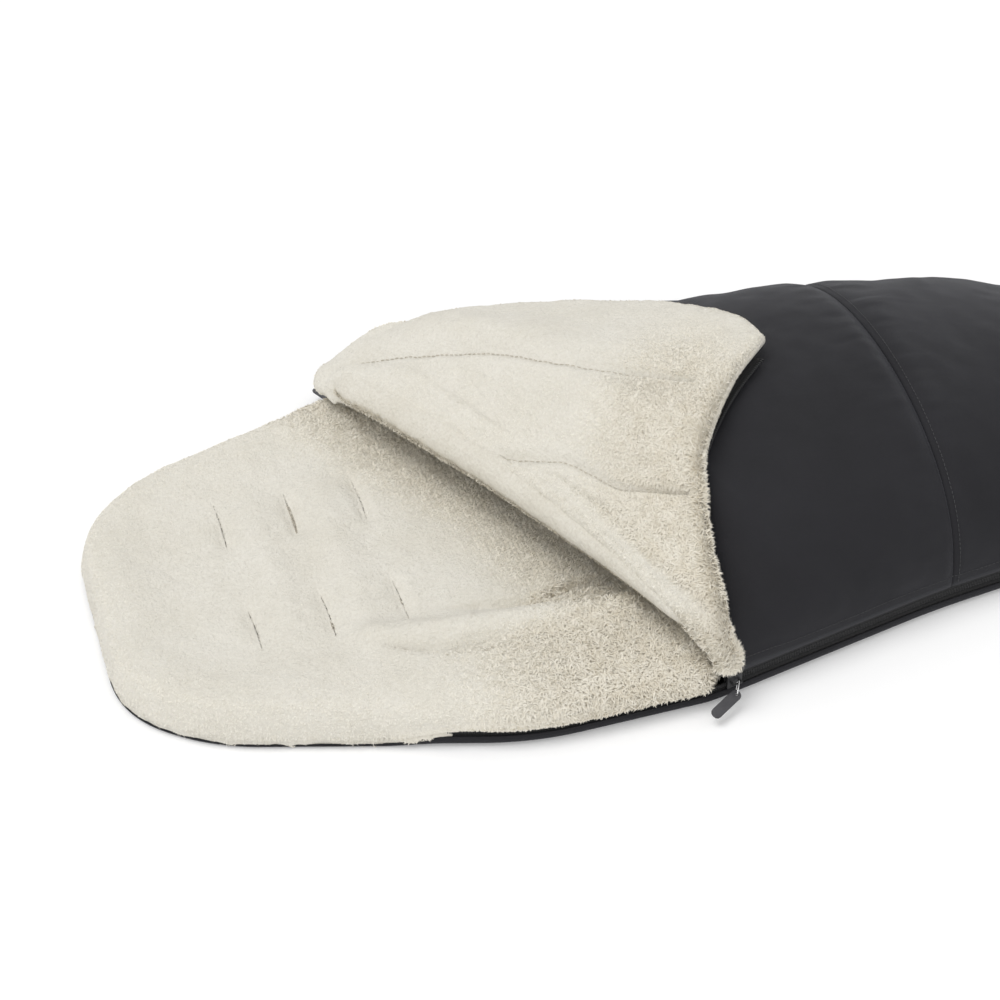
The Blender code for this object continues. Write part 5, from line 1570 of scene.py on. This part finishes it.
def flap_shell_grids():
    rows, columns = np.linspace(0.006, 0.99, 84)[:, None], np.linspace(0.006, 0.985, 70)[None, :]
    station, angle = flap_place(rows, columns)
    wave = FLAP_WAVE * lumps(arch(station, angle, 0), 0.02, 41)
    return arch(station, angle, -FLAP_LIFT - SHELL - wave), arch(station, angle, -FLAP_LIFT - wave)


flap_outer = add_sheet("flap_outer", *flap_shell_grids(), SHELL_CLOTH)
lay_cloth(flap_outer)
dress(flap_outer, "flap", "shell", "flap_shell")

# Flap zip
# The cover's open half of the near zip, sewn along the flap's free edge: a strip of tape, and a
# row of teeth on its outer border.
FLAP_TAPE_IN, FLAP_TAPE_WIDTH, FLAP_TAPE_RISE = 0.004, 0.0045, 0.0003


def flap_zip_frames(count):
    """Points of the free edge, with the directions outwards from it and up."""
    share = np.linspace(0.035, 0.965, count)
    places = ((0.0, -FLAP_LIFT), (0.04, -FLAP_LIFT), (0.0, -FLAP_LIFT - 0.002))
    edge, inner, above = (arch(*flap_place(share, across), depth) for across, depth in places)
    ahead = unit(np.gradient(edge, axis=0))
    out, up = edge - inner, above - edge
    out = unit(out - ahead * np.sum(out * ahead, axis=1, keepdims=True))
    up = unit(up - ahead * np.sum(up * ahead, axis=1, keepdims=True))
    return edge, ahead, out, unit(up - out * np.sum(up * out, axis=1, keepdims=True))


edge, ahead, out, up = flap_zip_frames(160)
sides, levels = (-FLAP_TAPE_IN, FLAP_TAPE_WIDTH), (FLAP_TAPE_RISE, FLAP_TAPE_RISE + TAPE)
corners = [edge + out * sides[j] + up * levels[k] for j, k in ((0, 0), (1, 0), (1, 1), (0, 1))]
add_tape("flap_strip", [strip(np.stack(corners, 1))], "flap", "tape", "flap_tape")
count = int(np.linalg.norm(np.diff(edge, axis=0), axis=1).sum() / COIL_PITCH)
edge, ahead, out, up = flap_zip_frames(count)
places = edge + out * (FLAP_TAPE_WIDTH + TOOTH[2] / 2 - COIL_HOLD) + up * (FLAP_TAPE_RISE + TAPE / 2)
add_teeth("flap_chain", teeth_along(places, ahead, out), "flap", "flap_teeth")

# Fold
# The fleece that turns over between the cover and the flap, and bridges the two.
FOLD_FIRST_ANGLE = 0.26
FOLD_TURNS = np.linspace(-0.15, math.pi + 0.15, 28)[None, :]
FOLD_SPARE, FOLD_LUMPS, FOLD_COUNT = 0.0030, ((0.02, 51, 0.0006),), 14000
# How slim the roll is at its near and far ends, and the angles over which it gets full
NEAR_SLIM, NEAR_FULL, FAR_SLIM, FAR_FADE = 0.45, (0.30, 0.45), 0.50, (2.45, 0.30)
SIGHT_FADE = (1.85, 0.2)


def fold_grids():
    """The outside and inside of the roll, slimmer towards both of its ends."""
    angle = np.linspace(FOLD_FIRST_ANGLE, FOLD_LAST_ANGLE, 90)[:, None]
    station = fold_station(angle)
    middle = arch(station, angle, -FLAP_LIFT / 2)
    up = unit(arch(station, angle, -FLAP_LIFT / 2 - 0.001) - middle)
    spoke = up * np.cos(FOLD_TURNS)[..., None] - np.array((*FOLD_AHEAD, 0)) * np.sin(FOLD_TURNS)[..., None]
    slim = mix(NEAR_SLIM, 1.0, fade_in(angle, *NEAR_FULL)) * mix(1.0, FAR_SLIM, fade_in(angle, *FAR_FADE))
    outer = middle + spoke * slim[..., None] * (LAYERS + FLAP_LIFT / 2 - FOLD_SPARE)
    outer = outer + spoke * bumps(outer, FOLD_LUMPS)[..., None]
    return outer, middle + spoke * (FLAP_LIFT / 2 + FOLD_SPARE)


fold_outside, fold_inside = fold_grids()
fold_fleece = add_sheet("fold_fleece", fold_outside, fold_inside, FLEECE,
                        np.full(fold_outside.shape[:2], 0.3))
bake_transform(fold_fleece)
dress(fold_fleece, None, "fleece", "fold_lining", "fold_padding")
in_sight = np.broadcast_to(fade_in(FOLD_TURNS, *SIGHT_FADE), fold_outside.shape[:2])
fold_pile = grow_pile("fold_pile", fold_outside, in_sight, FOLD_COUNT, 81, None, 2, 0.55,
                      outwards=fold_outside - fold_inside)
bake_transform(fold_pile)
